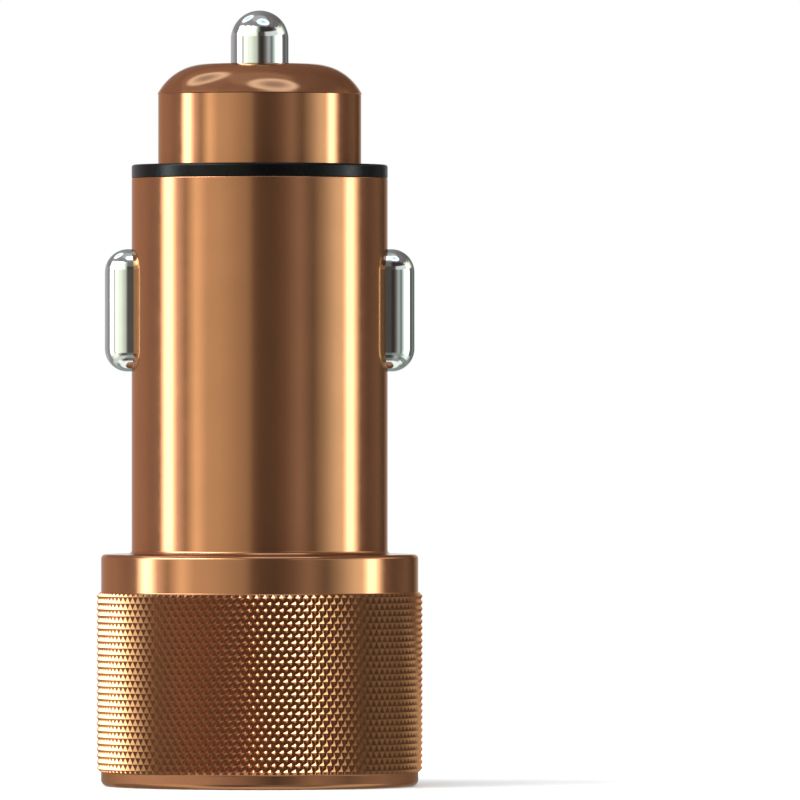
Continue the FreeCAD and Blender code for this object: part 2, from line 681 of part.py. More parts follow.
def usb_shell():
    """The socket's folded steel shell with six spring tabs and four solder legs."""
    shell = rounded_bar(USB_WIDTH, USB_HEIGHT, USB_CORNER, USB_FRONT_Z, USB_BACK_Z)
    shell = shell.cut(
        rounded_bar(
            USB_WIDTH - 2 * USB_SHEET, USB_HEIGHT - 2 * USB_SHEET, USB_CORNER - USB_SHEET,
            USB_FRONT_Z, USB_BACK_Z,
        )
    )
    flat = USB_HEIGHT / 2 - USB_SHEET
    side = USB_WIDTH / 2 - USB_SHEET
    places = [(Vector(0, sign, 0), flat, x) for sign in (-1, 1) for x in (-TAB_X, TAB_X)]
    places += [(Vector(sign, 0, 0), side, 0) for sign in (-1, 1)]
    foot_half = side - USB_CORNER
    foot = box(
        -foot_half, foot_half, flat - USB_SHEET, USB_HEIGHT,
        USB_BACK_Z - BLOCK_FOOT - BLOCK_CLEAR, USB_BACK_Z,
    )
    shell = shell.cut(foot)
    for place in places:
        tab, window = spring_tab(*place)
        shell = shell.cut(window).fuse(tab)
    for leg in shell_leg_boxes(0):
        shell = shell.fuse(leg)
    return shell.removeSplitter()


def usb_insulator():
    """The orange moulding: rear block, board foot and the tongue that carries the pins."""
    half_w = USB_WIDTH / 2 - USB_SHEET - BLOCK_CLEAR
    half_h = USB_HEIGHT / 2 - USB_SHEET - BLOCK_CLEAR
    block = rounded_bar(2 * half_w, 2 * half_h, USB_CORNER - USB_SHEET, USB_BLOCK_Z, USB_BACK_Z)
    foot_half = half_w - USB_CORNER
    foot = box(-foot_half, foot_half, 0, BOARD_Y, USB_BACK_Z - BLOCK_FOOT, USB_BACK_Z)
    side = TONGUE_WIDTH / 2
    section = [
        (Vector(-side, -TONGUE_THICK, TONGUE_Z), TONGUE_CORNER),
        (Vector(side, -TONGUE_THICK, TONGUE_Z), TONGUE_CORNER),
        (Vector(side, 0, TONGUE_Z), 0),
        (Vector(-side, 0, TONGUE_Z), 0),
    ]
    tongue = Part.Face(rounded_wire(section)).extrude(Vector(0, 0, USB_BLOCK_Z - TONGUE_Z))
    profile = [
        (Vector(-side, -TONGUE_THICK, TONGUE_Z), TONGUE_NOSE),
        (Vector(-side, 0, TONGUE_Z), TONGUE_NOSE),
        (Vector(-side, 0, USB_BLOCK_Z), 0),
        (Vector(-side, -TONGUE_THICK, USB_BLOCK_Z), 0),
    ]
    tongue = tongue.common(Part.Face(rounded_wire(profile)).extrude(Vector(TONGUE_WIDTH, 0, 0)))
    shape = block.fuse(foot).fuse(tongue)
    groove_half = PIN_WIDTH / 2 + GROOVE_CLEAR
    for x in PIN_X:
        shape = shape.cut(
            box(
                x - groove_half, x + groove_half, -GROOVE_DEPTH, 0,
                TONGUE_Z + TONGUE_NOSE, USB_BACK_Z,
            )
        )
    return shape.removeSplitter()


def usb_pin(x):
    """One sprung contact in its groove under the tongue, with its tail through the board."""
    bump_y = PIN_PROUD - PIN_THICK / 2
    bump_z = TONGUE_Z + PIN_BUMP
    head = bent_strip(
        [
            (PIN_BASE_Y, TONGUE_Z + PIN_FRONT_GAP, 0),
            (PIN_BASE_Y, bump_z - PIN_BUMP_REACH, PIN_BEND),
            (bump_y, bump_z, PIN_BEND),
            (PIN_BASE_Y, bump_z + PIN_BUMP_REACH, PIN_BEND),
            (PIN_BASE_Y, USB_BACK_Z, 0),
        ],
        PIN_THICK, PIN_WIDTH, Vector(0, 1, 0), Vector(0, 0, 1),
    )
    tail = bent_strip(
        [
            (PIN_BASE_Y, USB_BLOCK_Z, 0),
            (PIN_BASE_Y, PIN_TAIL_Z, PIN_BEND),
            (BOARD_BACK_Y + LEAD_REACH, PIN_TAIL_Z, 0),
        ],
        PIN_THICK, PIN_TAIL_WIDTH, Vector(0, 1, 0), Vector(0, 0, 1),
    )
    pin = head.fuse(tail).removeSplitter()
    pin.translate(Vector(x, 0, 0))
    return pin


def face_plate():
    """The black face disc with the socket window."""
    plate = turned([
        (0, FACE_RECESS, 0),
        (FACE_R, FACE_RECESS, FACE_ROUND),
        (FACE_R, FACE_BACK_Z, 0),
        (0, FACE_BACK_Z, 0),
    ])
    window = rounded_bar(
        USB_WIDTH + 2 * WINDOW_CLEAR, USB_HEIGHT + 2 * WINDOW_CLEAR, USB_CORNER + WINDOW_CLEAR,
        0, FACE_BACK_Z,
    )
    return plate.cut(window)


def light_ring():
    """The white light guide: a lit ring round the face, a shelf under it and a rim to its board."""
    return turned([
        (FACE_R + FACE_FIT, FACE_RECESS, 0),
        (LIGHT_OUTER_R, FACE_RECESS, 0),
        (LIGHT_OUTER_R, LED_BOARD_Z, 0),
        (LIGHT_OUTER_R - LIGHT_WALL, LED_BOARD_Z, 0),
        (LIGHT_OUTER_R - LIGHT_WALL, LIGHT_BACK_Z, 0),
        (LIGHT_INNER_R, LIGHT_BACK_Z, 0),
        (LIGHT_INNER_R, LIGHT_STEP_Z, 0),
        (FACE_R + FACE_FIT, LIGHT_STEP_Z, 0),
    ])


def led_board():
    """The ring-shaped board between the light guide and the carrier."""
    return tube(
        LED_BOARD_HOLE_R, FACE_BORE_R - LED_BOARD_CLEAR, LED_BOARD_Z, CARRIER_BOTTOM_Z
    )


def led(number):
    """One light-emitting diode on the ring board, facing the light guide."""
    lamp = box(
        LED_R - LED_WIDTH / 2, LED_R + LED_WIDTH / 2, -LED_LENGTH / 2, LED_LENGTH / 2,
        LED_BOARD_Z - LED_HEIGHT, LED_BOARD_Z,
    )
    lamp.rotate(Vector(0, 0, 0), Vector(0, 0, 1), 360 / LED_COUNT * (number - 0.5))
    return lamp


def input_capacitor():
    """The can that lies along the board between the two spring pockets, and its two leads."""
    centre_y = BOARD_Y - INPUT_CAP_R - INPUT_CAP_GAP
    groove_z = INPUT_CAP_FOOT_Z + 3 * CAN_GROOVE
    can = turned([
        (0, INPUT_CAP_FOOT_Z, 0),
        (INPUT_CAP_R, INPUT_CAP_FOOT_Z, CAN_GROOVE),
        (INPUT_CAP_R, groove_z, 0),
        (INPUT_CAP_R - CAN_GROOVE, groove_z + CAN_GROOVE, 0),
        (INPUT_CAP_R, groove_z + 2 * CAN_GROOVE, 0),
        (INPUT_CAP_R, INPUT_CAP_TOP_Z, CAN_GROOVE),
        (0, INPUT_CAP_TOP_Z, 0),
    ])
    can.translate(Vector(0, centre_y, 0))
    reach = BOARD_BACK_Y + LEAD_REACH - centre_y
    for x in (-INPUT_CAP_LEAD_X, INPUT_CAP_LEAD_X):
        corner = Vector(x, centre_y, INPUT_CAP_LEAD_Z)
        can = can.fuse(Part.makeCylinder(INPUT_CAP_LEAD_R, INPUT_CAP_LEAD_OUT, corner))
        can = can.fuse(Part.makeSphere(INPUT_CAP_LEAD_R, corner))
        can = can.fuse(Part.makeCylinder(INPUT_CAP_LEAD_R, reach, corner, Vector(0, 1, 0)))
    return can.removeSplitter()


def output_capacitor(side):
    """A can on a square moulded base, standing on the board left (-1) or right (1) of its middle."""
    half = OUTPUT_CAP_BASE / 2
    x = side * (half + OUTPUT_CAP_GAP / 2)
    base_y = BOARD_Y - OUTPUT_CAP_BASE_THICK
    base = box(
        x - half, x + half, base_y, BOARD_Y, OUTPUT_CAP_Z - half, OUTPUT_CAP_Z + half
    )
    groove_z = 3 * CAN_GROOVE
    can = turned([
        (0, 0, 0),
        (OUTPUT_CAP_R, 0, 0),
        (OUTPUT_CAP_R, groove_z, 0),
        (OUTPUT_CAP_R - CAN_GROOVE, groove_z + CAN_GROOVE, 0),
        (OUTPUT_CAP_R, groove_z + 2 * CAN_GROOVE, 0),
        (OUTPUT_CAP_R, OUTPUT_CAP_HEIGHT, CAN_GROOVE),
        (0, OUTPUT_CAP_HEIGHT, 0),
    ])
    can.rotate(Vector(0, 0, 0), Vector(1, 0, 0), 90)
    can.translate(Vector(x, base_y, OUTPUT_CAP_Z))
    return base.fuse(can).removeSplitter()


def on_board(shape, z):
    """Turns a shape made about Z so that it stands on the board's front face at height z."""
    shape.rotate(Vector(0, 0, 0), Vector(1, 0, 0), 90)
    shape.translate(Vector(0, BOARD_Y, z))
    return shape


def inductor_core():
    """The ferrite drum that stands on the board."""
    drum_top = CORE_FLANGE + COIL_TURNS * COIL_WIRE + 2 * COIL_FIT
    return on_board(turned([
        (0, 0, 0),
        (CORE_R, 0, 0),
        (CORE_R, CORE_FLANGE, 0),
        (CORE_DRUM_R, CORE_FLANGE, 0),
        (CORE_DRUM_R, drum_top, 0),
        (CORE_R, drum_top, 0),
        (CORE_R, drum_top + CORE_FLANGE, 0),
        (0, drum_top + CORE_FLANGE, 0),
    ]), COIL_Z)


def inductor_coil():
    """The copper winding in the drum's waist, with its turns showing as ribs."""
    foot = CORE_FLANGE + COIL_FIT
    inner = CORE_DRUM_R + COIL_FIT
    rib_r = COIL_WIRE / 2
    edges = []
    for turn in range(COIL_TURNS):
        z = foot + turn * COIL_WIRE
        edges.append(
            Part.Arc(
                Vector(COIL_OUTER_R, 0, z), Vector(COIL_OUTER_R + rib_r, 0, z + rib_r),
                Vector(COIL_OUTER_R, 0, z + COIL_WIRE),
            ).toShape()
        )
    top = foot + COIL_TURNS * COIL_WIRE
    corners = [
        Vector(COIL_OUTER_R, 0, top), Vector(inner, 0, top),
        Vector(inner, 0, foot), Vector(COIL_OUTER_R, 0, foot),
    ]
    for start, end in zip(corners, corners[1:]):
        edges.append(Part.LineSegment(start, end).toShape())
    face = Part.Face(Part.Wire(Part.__sortEdges__(edges)))
    return on_board(face.revolve(Vector(0, 0, 0), Vector(0, 0, 1), 360), COIL_Z)


def chip(width, length, height, leads, pitch, z):
    """A moulded chip on the board's back face, with gull-wing leads along both long sides."""
    body = box(
        -width / 2, width / 2, BOARD_BACK_Y + CHIP_STAND, BOARD_BACK_Y + height,
        z - length / 2, z + length / 2,
    )
    foot_y = BOARD_BACK_Y + CHIP_LEAD_THICK / 2
    root_y = BOARD_BACK_Y + height / 2
    knee_x = width / 2 + CHIP_LEAD_OUT
    for i in range(leads):
        for side in (-1, 1):
            lead = bent_strip(
                [
                    (side * (knee_x + CHIP_LEAD_FOOT), foot_y, 0),
                    (side * knee_x, foot_y, CHIP_LEAD_THICK),
                    (side * knee_x, root_y, CHIP_LEAD_THICK),
                    (side * (width / 2 - CHIP_LEAD_THICK), root_y, 0),
                ],
                CHIP_LEAD_THICK, CHIP_LEAD_WIDTH, Vector(1, 0, 0), Vector(0, 1, 0),
            )
            lead.translate(Vector(0, 0, z + (i - (leads - 1) / 2) * pitch))
            body = body.fuse(lead)
    return body.removeSplitter()


def end_capped_block(width, length, height, x, z):
    """A small part on the board's back face: a waist between two soldered end caps."""
    waist = width / 2 - END_CAP_STEP
    half = length / 2
    block = box(
        x - waist, x + waist, BOARD_BACK_Y, BOARD_BACK_Y + height - END_CAP_STEP,
        z - half + END_CAP_LENGTH, z + half - END_CAP_LENGTH,
    )
    for end in (z - half, z + half - END_CAP_LENGTH):
        block = block.fuse(
            box(
                x - width / 2, x + width / 2, BOARD_BACK_Y, BOARD_BACK_Y + height,
                end, end + END_CAP_LENGTH,
            )
        )
    return block.removeSplitter()


def board_back_parts():
    """The chips and small parts on the board's back face, by name."""
    parts = {
        "converter_chip": chip(
            CONVERTER_WIDTH, CONVERTER_LENGTH, CONVERTER_HEIGHT, CONVERTER_LEAD_COUNT,
            CONVERTER_PITCH, CONVERTER_Z,
        ),
        "charge_chip": chip(
            CHARGER_WIDTH, CHARGER_LENGTH, CHARGER_HEIGHT, CHARGER_LEAD_COUNT,
            CHARGER_PITCH, CHARGER_Z,
        ),
        "rectifier_diode": end_capped_block(
            DIODE_WIDTH, DIODE_LENGTH, DIODE_HEIGHT, 0, DIODE_Z
        ),
        "board_fuse": end_capped_block(FUSE_WIDTH, FUSE_LENGTH, FUSE_HEIGHT, 0, FUSE_Z),
    }
    places = [(x, z) for z in (CERAMIC_LOW_Z, CERAMIC_HIGH_Z) for x in (-CERAMIC_X, CERAMIC_X)]
    for number, (x, z) in enumerate(places, 1):
        parts[f"ceramic_capacitor_{number}"] = end_capped_block(
            CERAMIC_WIDTH, CERAMIC_LENGTH, CERAMIC_HEIGHT, x, z
        )
    return parts


def build():
    """Every node by name."""
    front, back = carrier_halves()
    ear = side_contact()
    leaf = ground_spring()
    nodes = {
        "body_shell": body_shell(),
        "insulating_ring": insulating_ring(),
        "nose_cap": nose_cap(),
        "tip_contact": tip_contact(),
        "tip_spring": tip_spring(),
        "tip_terminal": tip_terminal(),
        "side_contact_right": ear,
        "side_contact_left": mirrored_x(ear),
        "ground_spring_right": leaf,
        "ground_spring_left": mirrored_x(leaf),
        "carrier_front": front,
        "carrier_back": back,
        "main_board": main_board(),
        "usb_shell": usb_shell(),
        "usb_insulator": usb_insulator(),
        "face_plate": face_plate(),
        "light_ring": light_ring(),
        "led_board": led_board(),
        "input_capacitor": input_capacitor(),
        "output_capacitor_left": output_capacitor(-1),
        "output_capacitor_right": output_capacitor(1),
        "inductor_core": inductor_core(),
        "inductor_coil": inductor_coil(),
    }
    for number, x in enumerate(PIN_X, 1):
        nodes[f"usb_pin_{number}"] = usb_pin(x)
    for number in range(1, LED_COUNT + 1):
        nodes[f"led_{number}"] = led(number)
    nodes.update(board_back_parts())
    return nodes


os.makedirs("parts", exist_ok=True)
for name, shape in build().items():
    shape.exportStep(f"parts/{name}.step")
    solids = len(shape.Solids)
    print(f"{name:26s} solids {solids} valid {shape.isValid()} volume {shape.Volume:9.2f}")
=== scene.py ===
import math

import bmesh
import bpy
from mathutils import Matrix, Vector


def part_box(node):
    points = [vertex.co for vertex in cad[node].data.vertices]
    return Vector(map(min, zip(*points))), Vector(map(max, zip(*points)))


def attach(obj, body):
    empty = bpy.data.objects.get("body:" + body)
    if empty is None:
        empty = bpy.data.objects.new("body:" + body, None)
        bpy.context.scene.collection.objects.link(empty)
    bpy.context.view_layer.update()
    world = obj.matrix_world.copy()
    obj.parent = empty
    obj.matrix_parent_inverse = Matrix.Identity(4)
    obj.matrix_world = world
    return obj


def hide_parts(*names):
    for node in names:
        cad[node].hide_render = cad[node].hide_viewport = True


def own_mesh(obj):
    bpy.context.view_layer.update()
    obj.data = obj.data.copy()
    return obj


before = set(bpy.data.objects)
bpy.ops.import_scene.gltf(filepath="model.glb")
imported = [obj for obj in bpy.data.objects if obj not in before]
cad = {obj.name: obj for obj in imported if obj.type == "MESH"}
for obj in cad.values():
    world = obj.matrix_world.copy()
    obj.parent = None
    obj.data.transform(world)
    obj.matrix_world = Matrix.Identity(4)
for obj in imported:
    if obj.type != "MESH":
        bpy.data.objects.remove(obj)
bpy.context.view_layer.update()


# Body shell: one piece of aluminium turned on a lathe and anodised in satin copper. Two rolls
# press the diamond knurl into its head before the ends of the band are chamfered, and two
# round-ended slots are milled through the barrel for the side contacts.

MM = 0.001
TEETH = 122
COLUMNS = 2 * TEETH
SHARP_EDGE = math.radians(24)
WELD = 0.0004

BARREL_R = 10.25
BARREL_LENGTH = 30.12
BARREL_WALL = 1.05
BARREL_EDGE = 0.10
HEAD_STEP = 2.45
HEAD_TOP_WALL = 1.73
HEAD_ROUND = 0.35
NECK_FILLET = 0.35
COLLAR_HEIGHT = 2.98
FOOT_BAND = 1.05
FOOT_ROUND = 0.50
RIM_WIDTH = 2.10
MOUTH_ROUND = 0.35
KNURL_LENGTH = 14.50
KNURL_HEIGHT = 0.35
KNURL_DEPTH = 0.27
KNURL_END_STEP = 0.12
KNURL_FILLET = 0.11
CREST_ROWS = 28

HEAD_R = BARREL_R + HEAD_STEP
HEAD_TOP_Z = FOOT_BAND + KNURL_LENGTH + COLLAR_HEIGHT
BARREL_TOP_Z = HEAD_TOP_Z + BARREL_LENGTH
BORE_R = BARREL_R - BARREL_WALL
BORE_FLOOR_Z = HEAD_TOP_Z - HEAD_TOP_WALL
MOUTH_R = HEAD_R - RIM_WIDTH
CREST_R = HEAD_R + KNURL_HEIGHT
BAND_END_R = HEAD_R + KNURL_END_STEP
BAND_FOOT_Z = FOOT_BAND + KNURL_END_STEP
BAND_TOP_Z = FOOT_BAND + KNURL_LENGTH - KNURL_END_STEP

SHELL_LINE = [
    (BAND_END_R, BAND_TOP_Z, 0),
    (HEAD_R, BAND_TOP_Z, KNURL_FILLET),
    (HEAD_R, HEAD_TOP_Z, HEAD_ROUND),
    (BARREL_R, HEAD_TOP_Z, NECK_FILLET),
    (BARREL_R, BARREL_TOP_Z, BARREL_EDGE),
    (BORE_R, BARREL_TOP_Z, 0),
    (BORE_R, BORE_FLOOR_Z, 0),
    (MOUTH_R, BORE_FLOOR_Z, 0),
    (MOUTH_R, 0, MOUTH_ROUND),
    (HEAD_R, 0, FOOT_ROUND),
    (HEAD_R, BAND_FOOT_Z, KNURL_FILLET),
    (BAND_END_R, BAND_FOOT_Z, 0),
]

CONTACT_LENGTH = 9.82
CONTACT_WIDTH = 3.70
CONTACT_BELOW_TOP = 10.61
CONTACT_Z = BARREL_TOP_Z - CONTACT_BELOW_TOP
SLOT_CLEAR = 0.12
SLOT_HALF_WIDTH = CONTACT_WIDTH / 2 + SLOT_CLEAR
SLOT_HALF_LENGTH = CONTACT_LENGTH / 2 + SLOT_CLEAR
SLOT_FROM_X = 8.30
SLOT_TO_X = 13.50

COPPER = (0.505, 0.214, 0.106, 1)
COPPER_DEEP = (0.475, 0.201, 0.100, 1)
COPPER_EDGE = (0.86, 0.64, 0.48, 1)


def rounded_line(corners, closed, arc_step=6.0, support=0.04):
    """Points (radius, height) through corners (radius, height, rounding), with a tangent arc at
    each rounding and a support point near both ends of every straight run."""
    runs = []
    for i, (r, z, rounding) in enumerate(corners):
        here = Vector((r, z))
        if rounding == 0:
            runs.append([here])
            continue
        to_last = (Vector(corners[i - 1][:2]) - here).normalized()
        to_next = (Vector(corners[(i + 1) % len(corners)][:2]) - here).normalized()
        half = to_last.angle(to_next) / 2
        centre = here + (to_last + to_next).normalized() * (rounding / math.sin(half))
        start = here + to_last * (rounding / math.tan(half)) - centre
        end = here + to_next * (rounding / math.tan(half)) - centre
        first = math.atan2(start.y, start.x)
        sweep = (math.atan2(end.y, end.x) - first + math.pi) % (2 * math.pi) - math.pi
        steps = max(3, math.ceil(abs(math.degrees(sweep)) / arc_step))
        angles = [first + sweep * k / steps for k in range(steps + 1)]
        runs.append([centre + rounding * Vector((math.cos(a), math.sin(a))) for a in angles])
    points = []
    for i, run in enumerate(runs):
        points += run
        if i + 1 == len(runs) and not closed:
            break
        start, end = run[-1], runs[(i + 1) % len(runs)][0]
        length = (end - start).length
        if length > 4 * support:
            step = (end - start) * (support / length)
            points += [start + step, end - step]
    return points


def turned(points, columns, closed):
    """A bmesh turned about Z from points (radius, height), in millimetres."""
    shape = bmesh.new()
    turns = [2 * math.pi * k / columns for k in range(columns)]
    rings = []
    for r, z in points:
        rings.append([shape.verts.new((r * math.cos(a), r * math.sin(a), z)) for a in turns])
    pairs = list(zip(rings, rings[1:]))
    if closed:
        pairs.append((rings[-1], rings[0]))
    for low, high in pairs:
        for k in range(columns):
            n = (k + 1) % columns
            shape.faces.new((low[k], low[n], high[n], high[k]))
    return shape


def finished(name, shape, material, body, slot, *replaced):
    """A bmesh in millimetres made a piece: welded, faces outward, sharp edges kept, and placed."""
    bmesh.ops.remove_doubles(shape, verts=shape.verts, dist=WELD)
    bmesh.ops.dissolve_degenerate(shape, edges=shape.edges, dist=WELD / 10)
    bmesh.ops.recalc_face_normals(shape, faces=shape.faces)
    mesh = bpy.data.meshes.new(name)
    shape.to_mesh(mesh)
    shape.free()
    mesh.transform(Matrix.Scale(MM, 4))
    mesh.shade_smooth()
    mesh.set_sharp_from_angle(angle=SHARP_EDGE)
    mesh.materials.clear()
    mesh.materials.append(material)
    piece = bpy.data.objects.new(name, mesh)
    bpy.context.scene.collection.objects.link(piece)
    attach(piece, body)
    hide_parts(*replaced)
    return piece


def add(tree, kind, inputs=None, **settings):
    """A node with its settings, and its sockets set to a value or linked to another socket."""
    made = tree.nodes.new(kind)
    for key, value in settings.items():
        setattr(made, key, value)
    for key, value in (inputs or {}).items():
        if isinstance(value, bpy.types.NodeSocket):
            tree.links.new(value, made.inputs[key])
        else:
            made.inputs[key].default_value = value
    return made


def calc(tree, operation, *values):
    """The output of a math node."""
    return add(tree, "ShaderNodeMath", dict(enumerate(values)), operation=operation).outputs[0]


def ramp(tree, value, stops):
    """The colour output of a ramp whose stops are (position, grey or colour)."""
    made = add(tree, "ShaderNodeValToRGB", {"Fac": value})
    elements = made.color_ramp.elements
    while len(elements) < len(stops):
        elements.new(0.5)
    for element, (position, tone) in zip(elements, stops):
        element.position = position
        element.color = tone if isinstance(tone, tuple) else (tone, tone, tone, 1)
    return made.outputs["Color"]


def finish(name, **constants):
    """A new material's tree and its shader, with the shader's plain numbers set on its sockets."""
    material = bpy.data.materials.new(name)
    material.use_nodes = True
    tree = material.node_tree
    tree.nodes.clear()
    shader = add(tree, "ShaderNodeBsdfPrincipled")
    add(tree, "ShaderNodeOutputMaterial", {"Surface": shader.outputs["BSDF"]})
    for key, value in constants.items():
        shader.inputs[key.replace("_", " ").title().replace("Ior", "IOR")].default_value = value
    return material, tree, shader


def noise(tree, where, scale, detail=3.0, roughness=0.5):
    """A noise texture's grey output, with its scale in cells a metre."""
    inputs = {"Vector": where, "Scale": scale, "Detail": detail, "Roughness": roughness}
    return add(tree, "ShaderNodeTexNoise", inputs).outputs["Fac"]


def placed(tree):
    """The piece's own coordinates, in metres."""
    return add(tree, "ShaderNodeTexCoord").outputs["Object"]


def round_axis(tree):
    """Coordinates (distance from the Z axis, 0, height), on which a pattern is all lathe marks."""
    parts = add(tree, "ShaderNodeSeparateXYZ", {"Vector": placed(tree)}).outputs
    r = calc(tree, "SQRT", calc(tree, "ADD", calc(tree, "POWER", parts[0], 2.0),
                                calc(tree, "POWER", parts[1], 2.0)))
    return add(tree, "ShaderNodeCombineXYZ", {"X": r, "Z": parts[2]}).outputs[0]


def spread(tree, value, low, high):
    """The colour output of a pattern that runs between two greys or colours."""
    return ramp(tree, value, [(0.3, low), (0.7, high)])


def shade(tree, shader, socket, value, low, high):
    """Links a pattern that runs between two greys or colours to a shader's socket."""
    tree.links.new(spread(tree, value, low, high), shader.inputs[socket])


def bump(tree, shader, height, depth, below=None):
    """Links a pattern to a shader's normal as relief of that depth in metres."""
    inputs = {"Height": height, "Distance": depth}
    if below is not None:
        inputs["Normal"] = below
    made = add(tree, "ShaderNodeBump", inputs).outputs["Normal"]
    tree.links.new(made, shader.inputs["Normal"])
    return made


def copper_finish():
    material, tree, shader = finish("satin_copper", metallic=0.86, specular_tint=COPPER_EDGE)
    spots = placed(tree)
    marks = noise(tree, round_axis(tree), 7000.0, 4.0, 0.6)
    shade(tree, shader, "Base Color", noise(tree, spots, 260.0), COPPER_DEEP, COPPER)
    shade(tree, shader, "Roughness", noise(tree, spots, 900.0, 5.0), 0.10, 0.14)
    grain = bump(tree, shader, noise(tree, spots, 24000.0, 2.0), 0.4e-6)
    bump(tree, shader, marks, 0.5e-6, below=grain)
    return material


copper = copper_finish()


def facet_object(name, points, faces, mirrored):
    """One repeat of the knurl as an object in millimetres, from points (teeth, height, radius)."""
    corners = []
    for teeth, height, r in points:
        angle = teeth * 2 * math.pi / TEETH
        corners.append((r * math.cos(angle), r * math.sin(angle), -height if mirrored else height))
    mesh = bpy.data.meshes.new(name)
    mesh.from_pydata(corners, [], faces)
    return bpy.data.objects.new(name, mesh)


def both_sides(points, faces):
    """Points and triangles for a positive number of teeth, repeated for the negative side."""
    turned_over = [(-t, z, r) for t, z, r in points]
    count = len(points)
    return points + turned_over, faces + [tuple(i + count for i in face) for face in faces]


def knurl_tree():
    """Lays the repeats on the crossings of the knurl: whole ones between the crest rows, and one
    kind at each chamfered end. Every second row starts half a tooth further round."""
    tree = bpy.data.node_groups.new("diamond_knurl", "GeometryNodeTree")
    kinds = [
        ("Facets", "NodeSocketObject"), ("Foot Facets", "NodeSocketObject"),
        ("Top Facets", "NodeSocketObject"), ("Teeth", "NodeSocketInt"),
        ("Crest Rows", "NodeSocketInt"), ("First Crest Height", "NodeSocketFloat"),
        ("Row Step", "NodeSocketFloat"), ("Weld Distance", "NodeSocketFloat"),
        ("Finish", "NodeSocketMaterial"),
    ]
    for label, kind in kinds:
        tree.interface.new_socket(label, in_out="INPUT", socket_type=kind)
    tree.interface.new_socket("Knurl", in_out="OUTPUT", socket_type="NodeSocketGeometry")
    given = tree.nodes.new("NodeGroupInput").outputs
    index = add(tree, "GeometryNodeInputIndex").outputs[0]
    teeth = given["Teeth"]
    last_row = calc(tree, "SUBTRACT", given["Crest Rows"], 1.0)
    joined = add(tree, "GeometryNodeJoinGeometry")
    for facets, rows, first_row in (
        (given["Facets"], last_row, 0.0),
        (given["Foot Facets"], 1.0, 0.0),
        (given["Top Facets"], 1.0, last_row),
    ):
        row = calc(tree, "ADD", calc(tree, "FLOOR", calc(tree, "DIVIDE", index, teeth)), first_row)
        height = calc(tree, "MULTIPLY_ADD", row, given["Row Step"], given["First Crest Height"])
        offset = calc(tree, "MULTIPLY", calc(tree, "MODULO", row, 2.0), 0.5)
        tooth = calc(tree, "ADD", calc(tree, "MODULO", index, teeth), offset)
        angle = calc(tree, "MULTIPLY", calc(tree, "DIVIDE", tooth, teeth), 2 * math.pi)
        spots = add(tree, "GeometryNodePoints", {
            "Count": calc(tree, "MULTIPLY", rows, teeth),
            "Position": add(tree, "ShaderNodeCombineXYZ", {"Z": height}).outputs[0],
        })
        source = add(tree, "GeometryNodeObjectInfo", {"Object": facets})
        laid = add(tree, "GeometryNodeInstanceOnPoints", {
            "Points": spots.outputs[0],
            "Instance": source.outputs["Geometry"],
            "Rotation": add(tree, "ShaderNodeCombineXYZ", {"Z": angle}).outputs[0],
        })
        tree.links.new(laid.outputs[0], joined.inputs[0])
    real = add(tree, "GeometryNodeRealizeInstances", {"Geometry": joined.outputs[0]})
    welded = add(tree, "GeometryNodeMergeByDistance", {
        "Geometry": real.outputs[0], "Distance": given["Weld Distance"],
    })
    dressed = add(tree, "GeometryNodeSetMaterial", {
        "Geometry": welded.outputs[0], "Material": given["Finish"],
    })
    add(tree, "NodeGroupOutput", {"Knurl": dressed.outputs[0]})
    return tree


def grown(tree, values):
    """The plain mesh that a tree of nodes makes from these values."""
    host = bpy.data.objects.new(tree.name, bpy.data.meshes.new(tree.name))
    bpy.context.scene.collection.objects.link(host)
    modifier = host.modifiers.new(tree.name, "NODES")
    modifier.node_group = tree
    for item in tree.interface.items_tree:
        if item.in_out == "INPUT":
            modifier[item.identifier] = values[item.name]
    made = bpy.data.meshes.new_from_object(
        host.evaluated_get(bpy.context.evaluated_depsgraph_get()))
    bpy.data.objects.remove(host)
    return made


def knurl_mesh():
    """The whole knurled band, from the smooth foot to the smooth collar."""
    root_r = CREST_R - KNURL_DEPTH
    chamfer = CREST_R - BAND_END_R
    first_crest = BAND_FOOT_Z + chamfer
    step = (BAND_TOP_Z - chamfer - first_crest) / (CREST_ROWS - 1)
    row_points, row_faces = both_sides(
        [(0, 0, CREST_R), (0.5, 0, root_r), (0, step, root_r), (0.5, step, CREST_R)],
        [(0, 1, 2), (1, 3, 2)],
    )
    # The 45 degree chamfer is as deep as the grooves at notch, and cuts their ridges at ridge.
    notch = KNURL_DEPTH
    ridge = KNURL_DEPTH / (1 + KNURL_DEPTH / step)
    end_points, end_faces = both_sides(
        [
            (0, 0, CREST_R),
            (0.5, 0, root_r),
            (0.5 * (1 - notch / step), notch, root_r),
            (0.5, ridge, CREST_R - ridge),
            (0, chamfer, BAND_END_R),
            (0.5, chamfer, BAND_END_R),
        ],
        [(0, 1, 2), (1, 3, 2), (0, 2, 4), (2, 5, 4), (2, 3, 5)],
    )
    facets = facet_object("knurl_facets", row_points, row_faces, False)
    foot = facet_object("knurl_foot_facets", end_points, end_faces, True)
    top = facet_object("knurl_top_facets", end_points, end_faces, False)
    made = grown(knurl_tree(), {
        "Facets": facets, "Foot Facets": foot, "Top Facets": top, "Teeth": TEETH,
        "Crest Rows": CREST_ROWS, "First Crest Height": first_crest, "Row Step": step,
        "Weld Distance": WELD, "Finish": copper,
    })
    for used in (facets, foot, top):
        bpy.data.objects.remove(used)
    return made


def stadium(half_width, half_length, arc_steps):
    """Points (y, z, outward y, outward z) round a long round-ended outline about the origin."""
    points = []
    for centre, start in ((half_length - half_width, 0), (half_width - half_length, 180)):
        for k in range(arc_steps + 1):
            a = math.radians(start + 180 * k / arc_steps)
            points.append((half_width * math.cos(a), centre + half_width * math.sin(a),
                           math.cos(a), math.sin(a)))
    return points


